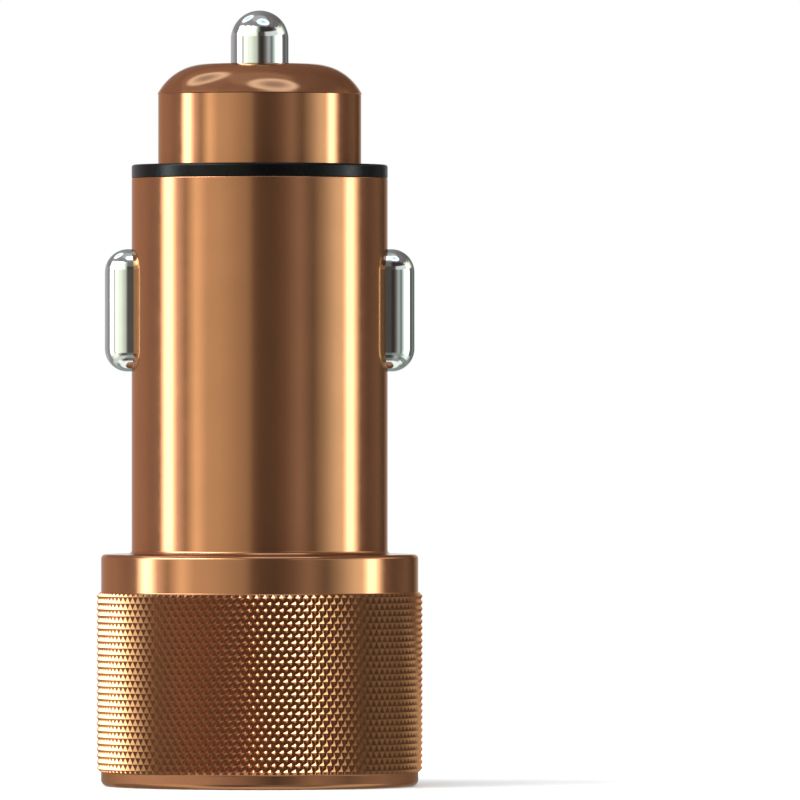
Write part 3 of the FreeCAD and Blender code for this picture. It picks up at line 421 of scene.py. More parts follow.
def slot_cutter(side):
    """The bar that mills one slot, in millimetres."""
    shape = bmesh.new()
    ends = []
    for x in (SLOT_FROM_X, SLOT_TO_X):
        outline = stadium(SLOT_HALF_WIDTH, SLOT_HALF_LENGTH, arc_steps=32)
        ends.append([shape.verts.new((side * x, y, CONTACT_Z + z)) for y, z, _, _ in outline])
    count = len(ends[0])
    for k in range(count):
        n = (k + 1) % count
        shape.faces.new((ends[0][k], ends[0][n], ends[1][n], ends[1][k]))
    shape.faces.new(ends[0])
    shape.faces.new(ends[1])
    bmesh.ops.recalc_face_normals(shape, faces=shape.faces)
    mesh = bpy.data.meshes.new("slot_cutter")
    shape.to_mesh(mesh)
    shape.free()
    return bpy.data.objects.new("slot_cutter", mesh)


def shell_shape():
    """The turned shell with its knurl and slots, as a bmesh in millimetres."""
    shape = turned(rounded_line(SHELL_LINE, closed=False), COLUMNS, closed=False)
    shape.from_mesh(knurl_mesh())
    bmesh.ops.remove_doubles(shape, verts=shape.verts, dist=WELD)
    bmesh.ops.recalc_face_normals(shape, faces=shape.faces)
    whole = bpy.data.meshes.new("uncut_shell")
    shape.to_mesh(whole)
    shape.free()
    blank = bpy.data.objects.new("uncut_shell", whole)
    bpy.context.scene.collection.objects.link(blank)
    cutters = [slot_cutter(side) for side in (-1, 1)]
    for cutter in cutters:
        bpy.context.scene.collection.objects.link(cutter)
        cut = blank.modifiers.new(cutter.name, "BOOLEAN")
        cut.operation = "DIFFERENCE"
        cut.solver = "EXACT"
        cut.object = cutter
    milled = bpy.data.meshes.new_from_object(
        blank.evaluated_get(bpy.context.evaluated_depsgraph_get()))
    for used in (blank, *cutters):
        bpy.data.objects.remove(used)
    shape = bmesh.new()
    shape.from_mesh(milled)
    return shape


finished("turned_shell", shell_shape(), copper, "root", "copper_metal", "body_shell")


# Nose cap: a cup turned from the same aluminium and anodised with the shell. It is pressed on the
# carrier's neck, and its domed shoulder meets the straight wall in a fine crease.

RING_THICK = 1.05
NOSE_STEP = 2.12
NOSE_STRAIGHT = 5.67
NOSE_WALL = 1.03
NOSE_ROOF = 1.87
NOSE_EDGE = 0.06
NOSE_CREASE = 0.06
DOME_HEIGHT = 2.40
DOME_ROUND = 4.396
DOME_CORNER_R = 6.967
TIP_RADIUS = 2.32
TIP_HOLE_CLEAR = 0.10
TIP_HOLE_EDGE = 0.12

NOSE_R = BARREL_R - NOSE_STEP
NOSE_BORE_R = NOSE_R - NOSE_WALL
NOSE_FOOT_Z = BARREL_TOP_Z + RING_THICK
CREASE_Z = NOSE_FOOT_Z + NOSE_STRAIGHT
NOSE_TOP_Z = CREASE_Z + DOME_HEIGHT
ROOF_Z = NOSE_TOP_Z - NOSE_ROOF
TIP_HOLE_R = TIP_RADIUS + TIP_HOLE_CLEAR

NOSE_LINE = [
    (NOSE_BORE_R, NOSE_FOOT_Z, 0),
    (NOSE_R, NOSE_FOOT_Z, NOSE_EDGE),
    (NOSE_R, CREASE_Z - NOSE_CREASE, 0),
    (NOSE_R + NOSE_CREASE, CREASE_Z, 0),
    (DOME_CORNER_R, NOSE_TOP_Z, DOME_ROUND),
    (TIP_HOLE_R, NOSE_TOP_Z, TIP_HOLE_EDGE),
    (TIP_HOLE_R, ROOF_Z, 0),
    (NOSE_BORE_R, ROOF_Z, 0),
]

finished(
    "turned_nose",
    turned(rounded_line(NOSE_LINE, closed=True, arc_step=3.0), COLUMNS, closed=True),
    copper, "root", "copper_metal", "nose_cap",
)


# Insulating ring: a moulded collar of black plastic, held by its spigot in the barrel's mouth.
# It keeps the live nose away from the grounded barrel.

SPIGOT_DEPTH = 1.20
SPIGOT_CLEAR = 0.05
RING_EDGE = 0.05
RING_ROUND = 0.20

SPIGOT_R = BORE_R - SPIGOT_CLEAR
SPIGOT_FOOT_Z = BARREL_TOP_Z - SPIGOT_DEPTH

RING_LINE = [
    (NOSE_BORE_R, SPIGOT_FOOT_Z, 0),
    (SPIGOT_R, SPIGOT_FOOT_Z, RING_EDGE),
    (SPIGOT_R, BARREL_TOP_Z, 0),
    (BARREL_R, BARREL_TOP_Z, RING_EDGE),
    (BARREL_R, NOSE_FOOT_Z, RING_ROUND),
    (NOSE_BORE_R, NOSE_FOOT_Z, 0),
]


def deeper(colour):
    """The same colour a fifth darker."""
    return tuple(0.8 * part for part in colour[:3]) + (1,)


def black_finish(name, colour, low, high, grain, level=0.5):
    """Black plastic, between two roughnesses, with a moulded grain."""
    material, tree, shader = finish(name, specular_ior_level=level)
    spots = placed(tree)
    shade(tree, shader, "Base Color", noise(tree, spots, 900.0), deeper(colour), colour)
    shade(tree, shader, "Roughness", noise(tree, spots, 2500.0, 4.0), low, high)
    bump(tree, shader, noise(tree, spots, grain, 3.0), 1.5e-6)
    return material


ring_black = black_finish(
    "ring_black", (0.003, 0.003, 0.003, 1), low=0.20, high=0.30, grain=9000.0, level=0.14)
finished(
    "moulded_ring", turned(rounded_line(RING_LINE, closed=True), COLUMNS, closed=True),
    ring_black, "root", "black_plastic", "insulating_ring",
)


# Tip contact: a turned brass pin with bright nickel plate. Its flange holds it inside the nose cap
# and its stem centres the coil spring under it.

TIP_PROUD = 4.29
TIP_SEAT_GAP = 0.05
TIP_FLANGE_R = 3.30
TIP_FLANGE_THICK = 0.80
TIP_FLANGE_EDGE = 0.06
TIP_STEM_R = 1.60
TIP_STEM_LENGTH = 2.20
TIP_STEM_ROUND = 0.15
# A full round stops this far short of the middle, so that the run that follows keeps a length.
FULL_ROUND_GAP = 0.0001

TIP_TOP_Z = NOSE_TOP_Z + TIP_PROUD
TIP_SEAT_Z = ROOF_Z - TIP_SEAT_GAP
TIP_FLANGE_Z = TIP_SEAT_Z - TIP_FLANGE_THICK
TIP_STEM_Z = TIP_FLANGE_Z - TIP_STEM_LENGTH

TIP_LINE = [
    (0, TIP_STEM_Z, 0),
    (TIP_STEM_R, TIP_STEM_Z, TIP_STEM_ROUND),
    (TIP_STEM_R, TIP_FLANGE_Z, 0),
    (TIP_FLANGE_R, TIP_FLANGE_Z, TIP_FLANGE_EDGE),
    (TIP_FLANGE_R, TIP_SEAT_Z, TIP_FLANGE_EDGE),
    (TIP_RADIUS, TIP_SEAT_Z, 0),
    (TIP_RADIUS, TIP_TOP_Z, TIP_RADIUS - FULL_ROUND_GAP),
    (0, TIP_TOP_Z, 0),
]

NICKEL_EDGE = (0.84, 1.0, 0.95, 1)


def bright_finish():
    material, tree, shader = finish("bright_nickel", metallic=1.0, specular_tint=NICKEL_EDGE)
    spots = placed(tree)
    shade(tree, shader, "Base Color", noise(tree, spots, 500.0),
          (0.91, 0.905, 0.88, 1), (0.96, 0.96, 0.94, 1))
    shade(tree, shader, "Roughness", noise(tree, spots, 1400.0, 5.0), 0.05, 0.09)
    bump(tree, shader, noise(tree, spots, 15000.0, 3.0), 0.25e-6)
    return material


bright = bright_finish()
finished(
    "turned_tip",
    turned(rounded_line(TIP_LINE, closed=False, arc_step=4.0), columns=96, closed=False),
    bright, "tip", "bright_plate", "tip_contact",
)


# Side contacts: two deep-drawn domes of thin steel with bright nickel plate. The flange of each
# lies against the barrel's bore, and a leaf spring behind it pushes it out through its slot.

SIDES = ((1, "right"), (-1, "left"))
CONTACT_PROUD = 2.15
CONTACT_WALL = 0.40
CONTACT_BEND = 0.15
CONTACT_FLANGE_X = 8.76
CONTACT_FLANGE_THICK = 0.50
CONTACT_FLANGE_RIM = 0.80
CONTACT_FLANGE_EDGE = 0.08

CONTACT_R = CONTACT_WIDTH / 2
CONTACT_TOP_X = BARREL_R + CONTACT_PROUD
CONTACT_BACK_X = CONTACT_FLANGE_X - CONTACT_FLANGE_THICK
CONTACT_FLANGE_R = CONTACT_R + CONTACT_FLANGE_RIM
CONTACT_INNER_R = CONTACT_R - CONTACT_WALL
CONTACT_INNER_X = CONTACT_TOP_X - CONTACT_WALL

CONTACT_LINE = [
    (0, CONTACT_TOP_X, 0),
    (CONTACT_R, CONTACT_TOP_X, CONTACT_R - FULL_ROUND_GAP),
    (CONTACT_R, CONTACT_FLANGE_X, CONTACT_BEND),
    (CONTACT_FLANGE_R, CONTACT_FLANGE_X, CONTACT_FLANGE_EDGE),
    (CONTACT_FLANGE_R, CONTACT_BACK_X, CONTACT_FLANGE_EDGE),
    (CONTACT_INNER_R, CONTACT_BACK_X, CONTACT_BEND),
    (CONTACT_INNER_R, CONTACT_INNER_X, CONTACT_INNER_R - FULL_ROUND_GAP),
    (0, CONTACT_INNER_X, 0),
]


def drawn_dome(side):
    """A side contact as a bmesh: its wall's line carried round the long outline of its slot."""
    shape = bmesh.new()
    columns = []
    for y, z, ny, nz in stadium(0, CONTACT_LENGTH / 2 - CONTACT_R, arc_steps=30):
        column = []
        for out, x in rounded_line(CONTACT_LINE, closed=False, arc_step=4.5):
            spot = (side * x, y + ny * out, CONTACT_Z + z + nz * out)
            column.append(shape.verts.new(spot))
        columns.append(column)
    for k, column in enumerate(columns):
        after = columns[(k + 1) % len(columns)]
        for j in range(len(column) - 1):
            shape.faces.new((column[j], after[j], after[j + 1], column[j + 1]))
    return shape


for side, name in SIDES:
    finished(
        "drawn_contact_" + name, drawn_dome(side),
        bright, "contact_" + name, "bright_plate", "side_contact_" + name,
    )


# Springs and tip terminal: drawn spring steel, coiled for the tip and bowed for the side contacts.
# Each spring shortens as its contact is pressed. The terminal is a stamped brass plate that
# carries the tip's current to the board.


def dress(material, slot, *names):
    """Gives CAD nodes their finish."""
    for name in names:
        cad[name].data.materials.clear()
        cad[name].data.materials.append(material)


def drawn_metal(name, low_colour, high_colour, low, high, marks, depth, metallic=1.0):
    """Drawn or rolled metal, between two colours and roughnesses, with marks along its height."""
    material, tree, shader = finish(name, metallic=metallic)
    spots = placed(tree)
    drawn = add(tree, "ShaderNodeMapping", {"Vector": spots, "Scale": (1.0, 1.0, 0.06)})
    shade(tree, shader, "Base Color", noise(tree, spots, 700.0), low_colour, high_colour)
    shade(tree, shader, "Roughness", noise(tree, spots, 1800.0, 4.0), low, high)
    bump(tree, shader, noise(tree, drawn.outputs[0], marks, 4.0), depth)
    return material


spring_steel = drawn_metal(
    "spring_steel", (0.46, 0.46, 0.45, 1), (0.58, 0.58, 0.57, 1),
    low=0.24, high=0.36, marks=14000.0, depth=1.5e-6)
brass = drawn_metal(
    "brass", (0.66, 0.46, 0.19, 1), (0.78, 0.58, 0.28, 1),
    low=0.22, high=0.34, marks=9000.0, depth=1.0e-6)
dress(brass, "brass_sheet", "tip_terminal")


def sprung(name, node):
    """A spring as a piece of its own: its solid's mesh merged, and given a mesh of its own."""
    shape = bmesh.new()
    shape.from_mesh(cad[node].data)
    bmesh.ops.scale(shape, vec=(1 / MM,) * 3, verts=shape.verts)
    piece = finished(name, shape, spring_steel, "root", "spring_steel", node)
    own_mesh(piece)


sprung("coil_spring", "tip_spring")
for side, name in SIDES:
    sprung("leaf_spring_" + name, "ground_spring_" + name)


# Face plate: a moulded disc of black plastic with a window for the socket, pressed in behind the
# rim. The charging mark on it is printed in silver grey.

face_black = black_finish(
    "face_black", (0.008, 0.008, 0.008, 1), low=0.30, high=0.42, grain=16000.0, level=0.14)
dress(face_black, "face_black", "face_plate")

FACE_FRONT_Z = 0.25
MARK_THICKNESS = 0.02
MARK_LINE = [
    (0.34, 4.23), (0.18, 5.55), (0.70, 5.59), (0.74, 5.71), (-0.32, 7.16),
    (-0.43, 7.10), (-0.25, 5.86), (-0.72, 5.78), (-0.77, 5.65), (0.23, 4.29),
]


def mark_shape():
    """The charging mark as a thin plate of print on the face."""
    shape = bmesh.new()
    rings = []
    for z in (FACE_FRONT_Z, FACE_FRONT_Z - MARK_THICKNESS):
        rings.append([shape.verts.new((x, y, z)) for x, y in MARK_LINE])
    count = len(MARK_LINE)
    for k in range(count):
        n = (k + 1) % count
        shape.faces.new((rings[0][k], rings[0][n], rings[1][n], rings[1][k]))
    shape.faces.new(rings[0])
    shape.faces.new(rings[1])
    bmesh.ops.triangulate(shape, faces=[f for f in shape.faces if len(f.verts) > 4])
    return shape


def silver_print():
    material, tree, shader = finish("silver_print", metallic=0.4)
    spots = placed(tree)
    shade(tree, shader, "Base Color", noise(tree, spots, 12000.0),
          (0.44, 0.44, 0.45, 1), (0.54, 0.54, 0.55, 1))
    shade(tree, shader, "Roughness", noise(tree, spots, 8000.0), 0.38, 0.48)
    bump(tree, shader, noise(tree, spots, 30000.0), 0.8e-6)
    return material


finished("charging_mark", mark_shape(), silver_print(), "root", "socket_steel")


# Light ring: a milky light guide round the face plate, lit from behind by six small lamps that
# are soldered to a ring-shaped board.

def light_finish():
    material, tree, shader = finish(
        "milky_light", emission_color=(1.0, 1.0, 1.0, 1), emission_strength=0.6,
        subsurface_weight=0.15, subsurface_scale=0.0006)
    spots = placed(tree)
    shade(tree, shader, "Base Color", noise(tree, spots, 600.0),
          (0.86, 0.86, 0.86, 1), (0.93, 0.93, 0.93, 1))
    shade(tree, shader, "Roughness", noise(tree, spots, 3000.0), 0.28, 0.36)
    bump(tree, shader, noise(tree, spots, 12000.0), 1.0e-6)
    return material


def lamp_finish():
    material, tree, shader = finish("lamp_package", subsurface_weight=0.1, subsurface_scale=0.0003)
    spots = placed(tree)
    shade(tree, shader, "Base Color", noise(tree, spots, 2500.0),
          (0.84, 0.78, 0.50, 1), (0.92, 0.89, 0.72, 1))
    shade(tree, shader, "Roughness", noise(tree, spots, 6000.0), 0.25, 0.38)
    bump(tree, shader, noise(tree, spots, 20000.0), 1.0e-6)
    return material


def board_finish():
    """Green solder mask, raised over tracks that run in two directions."""
    material, tree, shader = finish("solder_mask", coat_weight=0.3, coat_roughness=0.15)
    spots = placed(tree)
    weave = noise(tree, spots, 5000.0, 2.0)
    tracks = add(tree, "ShaderNodeTexBrick", {
        "Vector": add(tree, "ShaderNodeMapping", {
            "Vector": spots, "Rotation": (math.pi / 2, 0, 0)}).outputs[0],
        "Scale": 900.0, "Mortar Size": 0.02, "Color1": (0, 0, 0, 1), "Color2": (0.2, 0.2, 0.2, 1),
        "Mortar": (1, 1, 1, 1)}).outputs["Color"]
    level = calc(tree, "MULTIPLY_ADD", tracks, 0.4, calc(tree, "MULTIPLY", weave, 0.6))
    shade(tree, shader, "Base Color", level, (0.016, 0.11, 0.045, 1), (0.035, 0.19, 0.08, 1))
    shade(tree, shader, "Roughness", weave, 0.28, 0.40)
    bump(tree, shader, level, 8.0e-6)
    return material


solder_mask = board_finish()
dress(light_finish(), "light_white", "light_ring")
dress(lamp_finish(), "lamp_white", *[f"led_{number}" for number in range(1, 7)])
dress(solder_mask, "circuit_board", "led_board")


# USB socket: a shell folded from nickel-plated sheet, with six spring tabs, round an orange
# moulded block whose tongue carries four gold-plated pins.

# The pale deep wall carries a painted glow, an emission of its own colour, though it is no lamp.
DEEP_WALL_Z = 12.20
DEEP_BLUR = 0.15
DEEP_PAINTED_GLOW = 0.25


def mixed(tree, share, first, second, **settings):
    """The colour between two colours."""
    inputs = {0: share, 6: first, 7: second}
    return add(tree, "ShaderNodeMix", inputs, data_type="RGBA", **settings).outputs[2]


def tongue_finish():
    """Orange towards the opening, and pale from the deep wall on, where the second shot begins. The
    pale wall also has a painted glow: it gives off a little light of its own, which is not the
    lamps' light."""
    material, tree, shader = finish(
        "orange_plastic", specular_ior_level=0.5, emission_strength=DEEP_PAINTED_GLOW)
    spots = placed(tree)
    grain = noise(tree, spots, 800.0)
    vivid = spread(tree, grain, (0.85, 0.20, 0.008, 1), (0.93, 0.26, 0.014, 1))
    pale = spread(tree, grain, (0.84, 0.84, 0.83, 1), (0.90, 0.90, 0.89, 1))
    height = add(tree, "ShaderNodeSeparateXYZ", {"Vector": spots}).outputs[2]
    deep = add(tree, "ShaderNodeMapRange", {
        "Value": height, "From Min": (DEEP_WALL_Z - DEEP_BLUR) * MM, "From Max": DEEP_WALL_Z * MM,
    }).outputs[0]
    tree.links.new(mixed(tree, deep, vivid, pale), shader.inputs["Base Color"])
    # Painted glow: the pale deep wall shines with its own colour at a constant strength.
    tree.links.new(mixed(tree, deep, (0, 0, 0, 1), pale), shader.inputs["Emission Color"])
    shade(tree, shader, "Roughness", noise(tree, spots, 3000.0, 4.0), 0.30, 0.40)
    bump(tree, shader, noise(tree, spots, 12000.0, 3.0), 1.5e-6)
    return material


socket_steel = drawn_metal(
    "socket_steel", (0.80, 0.80, 0.79, 1), (0.88, 0.88, 0.87, 1),
    low=0.30, high=0.42, marks=12000.0, depth=1.0e-6, metallic=0.6)
orange = tongue_finish()
gold = drawn_metal(
    "pin_gold", (0.76, 0.55, 0.22, 1), (0.86, 0.66, 0.30, 1),
    low=0.16, high=0.26, marks=14000.0, depth=0.6e-6)
dress(socket_steel, "socket_steel", "usb_shell")
dress(orange, "orange_plastic", "usb_insulator")
dress(gold, "pin_plate", *[f"usb_pin_{number}" for number in range(1, 5)])


# Carrier: two moulded halves of dark plastic that clasp the main board, the spring pockets and
# the tip's neck, and slide into the barrel together.

def moulded_finish(name, low_colour, high_colour, low, high, grain):
    """Plain moulded or pressed material, between two colours and roughnesses."""
    material, tree, shader = finish(name, specular_ior_level=0.5)
    spots = placed(tree)
    shade(tree, shader, "Base Color", noise(tree, spots, 800.0), low_colour, high_colour)
    shade(tree, shader, "Roughness", noise(tree, spots, 3000.0, 4.0), low, high)
    bump(tree, shader, noise(tree, spots, grain, 3.0), 1.5e-6)
    return material


carrier_plastic = moulded_finish(
    "carrier_plastic", (0.030, 0.030, 0.034, 1), (0.048, 0.048, 0.052, 1),
    low=0.42, high=0.56, grain=7000.0)
dress(carrier_plastic, "carrier_plastic", "carrier_front", "carrier_back")
dress(solder_mask, "circuit_board", "main_board")


# Parts on the main board: drawn cans, a ferrite drum wound with enamelled wire, moulded chips
# with tinned leads, and small ceramic blocks with tinned ends, all soldered to it.

can_metal = drawn_metal(
    "can_metal", (0.60, 0.60, 0.62, 1), (0.72, 0.72, 0.74, 1),
    low=0.20, high=0.32, marks=9000.0, depth=1.2e-6)
enamel_wire = drawn_metal(
    "enamel_wire", (0.44, 0.16, 0.045, 1), (0.60, 0.26, 0.085, 1),
    low=0.16, high=0.26, marks=12000.0, depth=1.0e-6)
ferrite = moulded_finish(
    "ferrite", (0.045, 0.045, 0.045, 1), (0.085, 0.085, 0.085, 1),
    low=0.55, high=0.72, grain=5000.0)
dress(can_metal, "can_metal", "input_capacitor", "output_capacitor_left", "output_capacitor_right")
dress(ferrite, "ferrite", "inductor_core")
dress(enamel_wire, "enamel_wire", "inductor_coil")


TINNED = (0.66, 0.66, 0.64, 1)
TIN_BLUR = 0.03 * MM
CHIP_BLACK = (0.026, 0.026, 0.027, 1)
LEAD_REACH = 1.02 * MM
CERAMIC_TAN = (0.46, 0.33, 0.20, 1)
END_CAP = 0.40 * MM


def tinned_part(name, slot, colour, axis, reach):
    """Dresses a small part whose ends are tinned, as far in as they reach along an axis."""
    low, high = (corner[axis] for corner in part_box(name))
    edge = (high - low) / 2 - reach
    material, tree, shader = finish(name + "_finish")
    spots = placed(tree)
    along = add(tree, "ShaderNodeSeparateXYZ", {"Vector": spots}).outputs[axis]
    away = calc(tree, "ABSOLUTE", calc(tree, "SUBTRACT", along, (high + low) / 2))
    tinned = add(tree, "ShaderNodeMapRange", {
        "Value": away, "From Min": edge, "From Max": edge + TIN_BLUR,
    }).outputs[0]
    grain = noise(tree, spots, 5000.0, 4.0)
    middle = spread(tree, grain, deeper(colour), colour)
    tree.links.new(mixed(tree, tinned, middle, TINNED), shader.inputs["Base Color"])
    tree.links.new(tinned, shader.inputs["Metallic"])
    shade(tree, shader, "Roughness", grain, 0.38, 0.55)
    bump(tree, shader, grain, 2.0e-6)
    dress(material, slot, name)


for name in ("converter_chip", "charge_chip"):
    tinned_part(name, "chip_black", CHIP_BLACK, 0, LEAD_REACH)
diode_black = black_finish("diode_black", CHIP_BLACK, low=0.40, high=0.52, grain=9000.0)
dress(diode_black, "chip_black", "rectifier_diode")
for name in ["board_fuse"] + [f"ceramic_capacitor_{number}" for number in range(1, 5)]:
    tinned_part(name, "ceramic_tan", CERAMIC_TAN, 2, END_CAP)


# Studio: a pale round table top that fades into a white room, soft panels of light all round,
# and a long lens in front of the plug at half its height.

FLOOR_RADIUS = 0.16
FLOOR_FADE = (0.045, 0.15)
FLOOR_DROP = 0.02 * MM
FLOOR_GREYS = (0.895, 0.905)


def floor_finish():
    """Pale and matt, seen from above only, and fading out towards the edge of the disc."""
    material = bpy.data.materials.new("table_top")
    material.use_nodes = True
    tree = material.node_tree
    tree.nodes.clear()
    spots = placed(tree)
    fade = add(tree, "ShaderNodeMapRange", {
        "Value": add(tree, "ShaderNodeVectorMath", {0: spots}, operation="LENGTH").outputs["Value"],
        "From Min": FLOOR_FADE[0], "From Max": FLOOR_FADE[1],
    }, interpolation_type="SMOOTHSTEP").outputs[0]
    under = add(tree, "ShaderNodeNewGeometry").outputs["Backfacing"]
    clear = calc(tree, "MAXIMUM", fade, under)
    tone = spread(tree, noise(tree, spots, 300.0), *FLOOR_GREYS)
    matt = add(tree, "ShaderNodeBsdfDiffuse", {"Color": tone, "Roughness": 0.6})
    gone = add(tree, "ShaderNodeBsdfTransparent")
    seen = add(tree, "ShaderNodeMixShader", {0: clear, 1: matt.outputs[0], 2: gone.outputs[0]})
    add(tree, "ShaderNodeOutputMaterial", {"Surface": seen.outputs[0]})
    return material


disc = bmesh.new()
bmesh.ops.create_circle(disc, cap_ends=True, segments=96, radius=FLOOR_RADIUS)
floor_mesh = bpy.data.meshes.new("table_top")
disc.to_mesh(floor_mesh)
disc.free()
floor_mesh.materials.append(floor_finish())
table_top = bpy.data.objects.new("table_top", floor_mesh)
table_top.location.z = -FLOOR_DROP
table_top.visible_diffuse = False
table_top.visible_glossy = False
table_top.visible_shadow = False
bpy.context.scene.collection.objects.link(table_top)

# The curb is a low card ring that only polished metal shows. Its greys follow the azimuth in
# degrees, 0 towards the camera and rising to the right, as do the belts of light below.
CURB_R = 50.0
CURB_FROM_Z = -16.0
CURB_TO_Z = 5.0
CURB_TONES = [
    (-180, 0.28), (-128, 0.41), (-95, 0.75), (-60, 0.71), (-35, 0.65), (-10, 0.34), (10, 0.025),
    (22, 0.16), (35, 0.37), (60, 0.12), (90, 0.25), (130, 0.16), (180, 0.28),
]


def share_of_turn(azimuth):
    """An azimuth in degrees as a share of the turn, 0.5 towards the camera."""
    return (azimuth + 180) / 360


def azimuth_share(tree, vector):
    """The same share for the direction of a vector."""
    parts = add(tree, "ShaderNodeSeparateXYZ", {"Vector": vector}).outputs
    around = calc(tree, "ARCTAN2", parts[0], calc(tree, "MULTIPLY", parts[1], -1.0))
    return calc(tree, "MULTIPLY_ADD", around, 1 / (2 * math.pi), 0.5)


def curb_finish():
    """Matt card, lighter on the left."""
    material, tree, shader = finish("curb_card", roughness=0.9, specular_ior_level=0.1)
    spots = placed(tree)
    stops = [(share_of_turn(azimuth), tone) for azimuth, tone in CURB_TONES]
    tree.links.new(ramp(tree, azimuth_share(tree, spots), stops), shader.inputs["Base Color"])
    shade(tree, shader, "Roughness", noise(tree, spots, 200.0), 0.85, 0.95)
    return material


wall = turned([(CURB_R, CURB_FROM_Z), (CURB_R, CURB_TO_Z)], columns=96, closed=False)
bmesh.ops.reverse_faces(wall, faces=wall.faces)
curb_mesh = bpy.data.meshes.new("low_curb")
wall.to_mesh(curb_mesh)
wall.free()
curb_mesh.transform(Matrix.Scale(MM, 4))
curb_mesh.materials.append(curb_finish())
low_curb = bpy.data.objects.new("low_curb", curb_mesh)
low_curb.visible_camera = False
low_curb.visible_diffuse = False
low_curb.visible_shadow = False
low_curb.visible_transmission = False
bpy.context.scene.collection.objects.link(low_curb)

# Tints of the room's panels, the strength that their levels are shares of, and the share of it
# that is left in a reflection of a reflection, which keeps the knurl's grooves calm.
PLAIN = (0.95, 1.01, 1.0)
GOLD = (0.98, 1.06, 0.87)
OLIVE = (0.86, 1.06, 0.96)
RED = (1.02, 0.90, 0.94)
DARK = (1.1, 0.95, 0.85)
COOL = (0.74, 1.04, 1.25)
PANEL_STRENGTH = 12.0
SECOND_BOUNCE = 0.55

# Each belt of the room is a list of stops (azimuth, level, tint).
HIGH_BELT = [
    (-180, 0.25, RED), (-118, 0.25, RED), (-108, 1.0, PLAIN), (-101, 6.0, PLAIN),
    (-93, 11.0, PLAIN), (-56, 11.5, PLAIN), (-46, 8.8, PLAIN), (-38, 4.7, OLIVE),
    (-32, 3.0, OLIVE), (-27, 2.1, OLIVE), (-21, 1.5, OLIVE), (-15, 0.82, OLIVE),
    (-9.5, 0.48, GOLD), (-4.5, 0.26, GOLD), (2, 0.073, DARK), (10, 0.031, DARK),
    (62, 0.040, DARK), (70, 0.11, DARK), (78, 0.17, PLAIN), (88, 0.90, GOLD),
    (104, 0.90, GOLD), (114, 0.30, GOLD), (140, 0.091, RED), (180, 0.25, RED),
]


def belt_between(left, right):
    """The high belt again, dim beyond two azimuths."""
    kept = [stop for stop in HIGH_BELT if left < stop[0] < right]
    return [
        (-180, 0.27, RED), (-140, 0.42, RED), (-117, 0.37, RED), (left - 4, 0.28, RED), *kept,
        (right, 0.035, DARK), (right + 12, 0.17, RED), (150, 0.15, RED), (180, 0.25, RED),
    ]


# The floor is plain white. The belts above it, up to the ceiling, each have the elevations between
# which they take over from the one below, and their stops.
FLOOR_BELT = [(-180, 0.95, PLAIN), (180, 0.95, PLAIN)]
BELTS = [
    (-66, -60, [
        (-180, 0.27, PLAIN), (-110, 0.27, PLAIN), (-92, 0.79, GOLD), (-76, 1.0, GOLD),
        (-60, 1.0, GOLD), (-48, 0.55, GOLD), (-38, 0.24, GOLD), (-28, 0.12, RED), (-10, 0.071, RED),
        (2, 0.194, OLIVE), (10, 0.26, OLIVE), (25, 0.30, OLIVE), (50, 0.26, OLIVE),
        (62, 0.46, OLIVE), (75, 0.90, OLIVE), (92, 1.0, OLIVE), (108, 0.80, OLIVE),
        (125, 0.25, PLAIN), (180, 0.27, PLAIN),
    ]),
    (-24, -18, [
        (-180, 1.0, PLAIN), (-170, 0.58, RED), (-128, 0.41, RED), (-113, 0.26, RED),
        (-101, 0.31, PLAIN), (-95, 5.3, PLAIN), (-91, 8.7, PLAIN), (-87, 7.0, PLAIN),
        (-80.5, 1.48, PLAIN), (-70, 0.39, GOLD), (-58.5, 1.78, GOLD), (-48, 0.97, GOLD),
        (-35, 0.91, GOLD), (-23, 0.69, GOLD), (-10, 0.49, GOLD), (-4, 0.104, DARK),
        (3, 0.034, DARK), (13, 0.034, DARK), (23, 0.124, DARK), (37, 0.42, PLAIN),
        (50, 0.136, PLAIN), (61, 0.68, OLIVE), (74, 1.60, OLIVE), (82, 1.77, OLIVE),
        (89, 7.2, PLAIN), (93, 6.1, PLAIN), (99, 1.64, OLIVE), (104, 0.23, RED),
        (115, 0.091, RED), (134, 0.22, PLAIN), (150, 0.061, RED), (180, 1.0, PLAIN),
    ]),
    (10, 14, [
        (-180, 0.25, RED), (-160, 0.32, RED), (-110, 0.22, RED), (-97, 3.2, PLAIN),
        (-87, 6.0, PLAIN), (-65, 3.2, PLAIN), (-48, 1.37, PLAIN), (-30, 1.10, GOLD),
        (-14, 0.94, GOLD), (-4, 0.062, DARK), (18, 0.062, DARK), (28, 0.65, PLAIN),
        (80, 0.76, PLAIN), (90, 1.5, GOLD), (105, 1.5, GOLD), (119, 0.80, GOLD),
        (136, 0.20, RED), (160, 0.143, RED), (180, 0.25, RED),
    ]),
    (27, 30, HIGH_BELT),
    (34, 36.5, belt_between(-98, 90)),
    (37.5, 40, belt_between(-86, 74)),
    (41, 43.5, belt_between(-72, 54)),
    (46, 48.5, belt_between(-42, 22)),
    (50.5, 52.5, [
        (-180, 0.25, RED), (-150, 0.38, RED), (-110, 0.32, RED), (-60, 0.26, RED), (30, 0.26, RED),
        (75, 0.20, RED), (150, 0.18, RED), (180, 0.25, RED),
    ]),
    (66, 73, [(-180, 0.44, PLAIN), (180, 0.44, PLAIN)]),
]

# Two softboxes overhead: the direction to each, its half extent along the axes, and its level.
SOFTBOX_GLOW = [(0.0, 0.3), (0.3, 0.4), (0.7, 1.0), (1.0, 1.0)]
SOFTBOXES = [
    ((0.190, -0.250, 0.949), (0.385, 0.300, 0.300), 2.1),
    ((-0.462, 0.365, 0.808), (0.270, 0.270, 0.270), 2.2),
]

# The even light on matt surfaces: its strength, and its greys below and above the horizon.
SOFT_STRENGTH = 1.12
SOFT_GREYS = [(0.40, 0.62), (0.60, 1.0)]


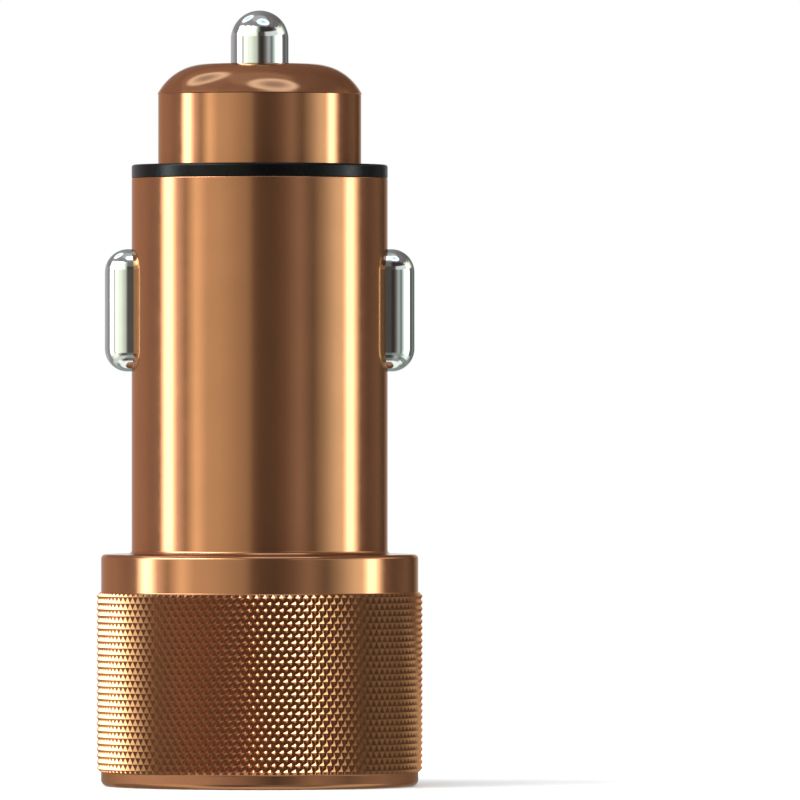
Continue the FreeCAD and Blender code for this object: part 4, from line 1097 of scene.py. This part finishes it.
def light_room():
    """The room: white to the camera, and panels, flags and a white backdrop in polished metal."""
    world = bpy.data.worlds.new("studio")
    bpy.context.scene.world = world
    world.use_nodes = True
    tree = world.node_tree
    tree.nodes.clear()
    direction = add(tree, "ShaderNodeTexCoord").outputs["Generated"]
    rise = add(tree, "ShaderNodeSeparateXYZ", {"Vector": direction}).outputs[2]
    turn = azimuth_share(tree, direction)
    elevation = calc(tree, "MULTIPLY", calc(tree, "ARCSINE", rise), 180 / math.pi)

    def panel(level, tint):
        return tuple(level / PANEL_STRENGTH * part for part in tint) + (1,)

    def belt(stops):
        colours = [(share_of_turn(azimuth), panel(level, tint)) for azimuth, level, tint in stops]
        return ramp(tree, turn, colours)

    def smooth_step(value, low, high):
        return add(tree, "ShaderNodeMapRange", {
            "Value": value, "From Min": low, "From Max": high,
        }, interpolation_type="SMOOTHSTEP").outputs[0]

    room = belt(FLOOR_BELT)
    for low, high, stops in BELTS:
        room = mixed(tree, smooth_step(elevation, low, high), room, belt(stops))
    for towards, extent, level in SOFTBOXES:
        away = add(tree, "ShaderNodeVectorMath", {0: direction, 1: towards}, operation="SUBTRACT")
        scaled = add(tree, "ShaderNodeVectorMath", {0: away.outputs[0], 1: extent},
                     operation="DIVIDE")
        off = add(tree, "ShaderNodeVectorMath", {0: scaled.outputs[0]},
                  operation="LENGTH").outputs["Value"]
        box = mixed(tree, 1.0, ramp(tree, off, SOFTBOX_GLOW), panel(level, COOL),
                    blend_type="MULTIPLY")
        room = mixed(tree, smooth_step(off, 1.0, 0.75), room, box)
    ray = add(tree, "ShaderNodeLightPath").outputs
    again = calc(tree, "GREATER_THAN", ray["Glossy Depth"], 1.5)
    strength = calc(tree, "MULTIPLY_ADD", again, (SECOND_BOUNCE - 1) * PANEL_STRENGTH,
                    PANEL_STRENGTH)
    panels = add(tree, "ShaderNodeBackground", {"Color": room, "Strength": strength})
    soft = add(tree, "ShaderNodeBackground", {
        "Color": ramp(tree, calc(tree, "MULTIPLY_ADD", elevation, 1 / 180, 0.5), SOFT_GREYS),
        "Strength": SOFT_STRENGTH,
    })
    white = add(tree, "ShaderNodeBackground", {"Color": (1, 1, 1, 1), "Strength": 1.0})
    lit = add(tree, "ShaderNodeMixShader", {
        0: ray["Is Diffuse Ray"], 1: panels.outputs[0], 2: soft.outputs[0]})
    seen = calc(tree, "MAXIMUM", ray["Is Camera Ray"], ray["Is Transmission Ray"])
    shown = add(tree, "ShaderNodeMixShader", {0: seen, 1: lit.outputs[0], 2: white.outputs[0]})
    add(tree, "ShaderNodeOutputWorld", {"Surface": shown.outputs[0]})


light_room()

CAMERA_PLACE = (0.01123, -1.069, 0.03087)
SENSOR_WIDTH = 36.0
FOCAL_LENGTH = 600.8

lens = bpy.data.cameras.new("long_lens")
lens.sensor_width = SENSOR_WIDTH
lens.lens = FOCAL_LENGTH
lens.clip_start = 0.05
lens.clip_end = 10.0
camera = bpy.data.objects.new("long_lens", lens)
camera.location = CAMERA_PLACE
camera.rotation_euler = (math.pi / 2, 0, 0)
bpy.context.scene.collection.objects.link(camera)
bpy.context.scene.camera = camera
bpy.context.scene.view_settings.view_transform = "Standard"

bpy.context.view_layer.update()
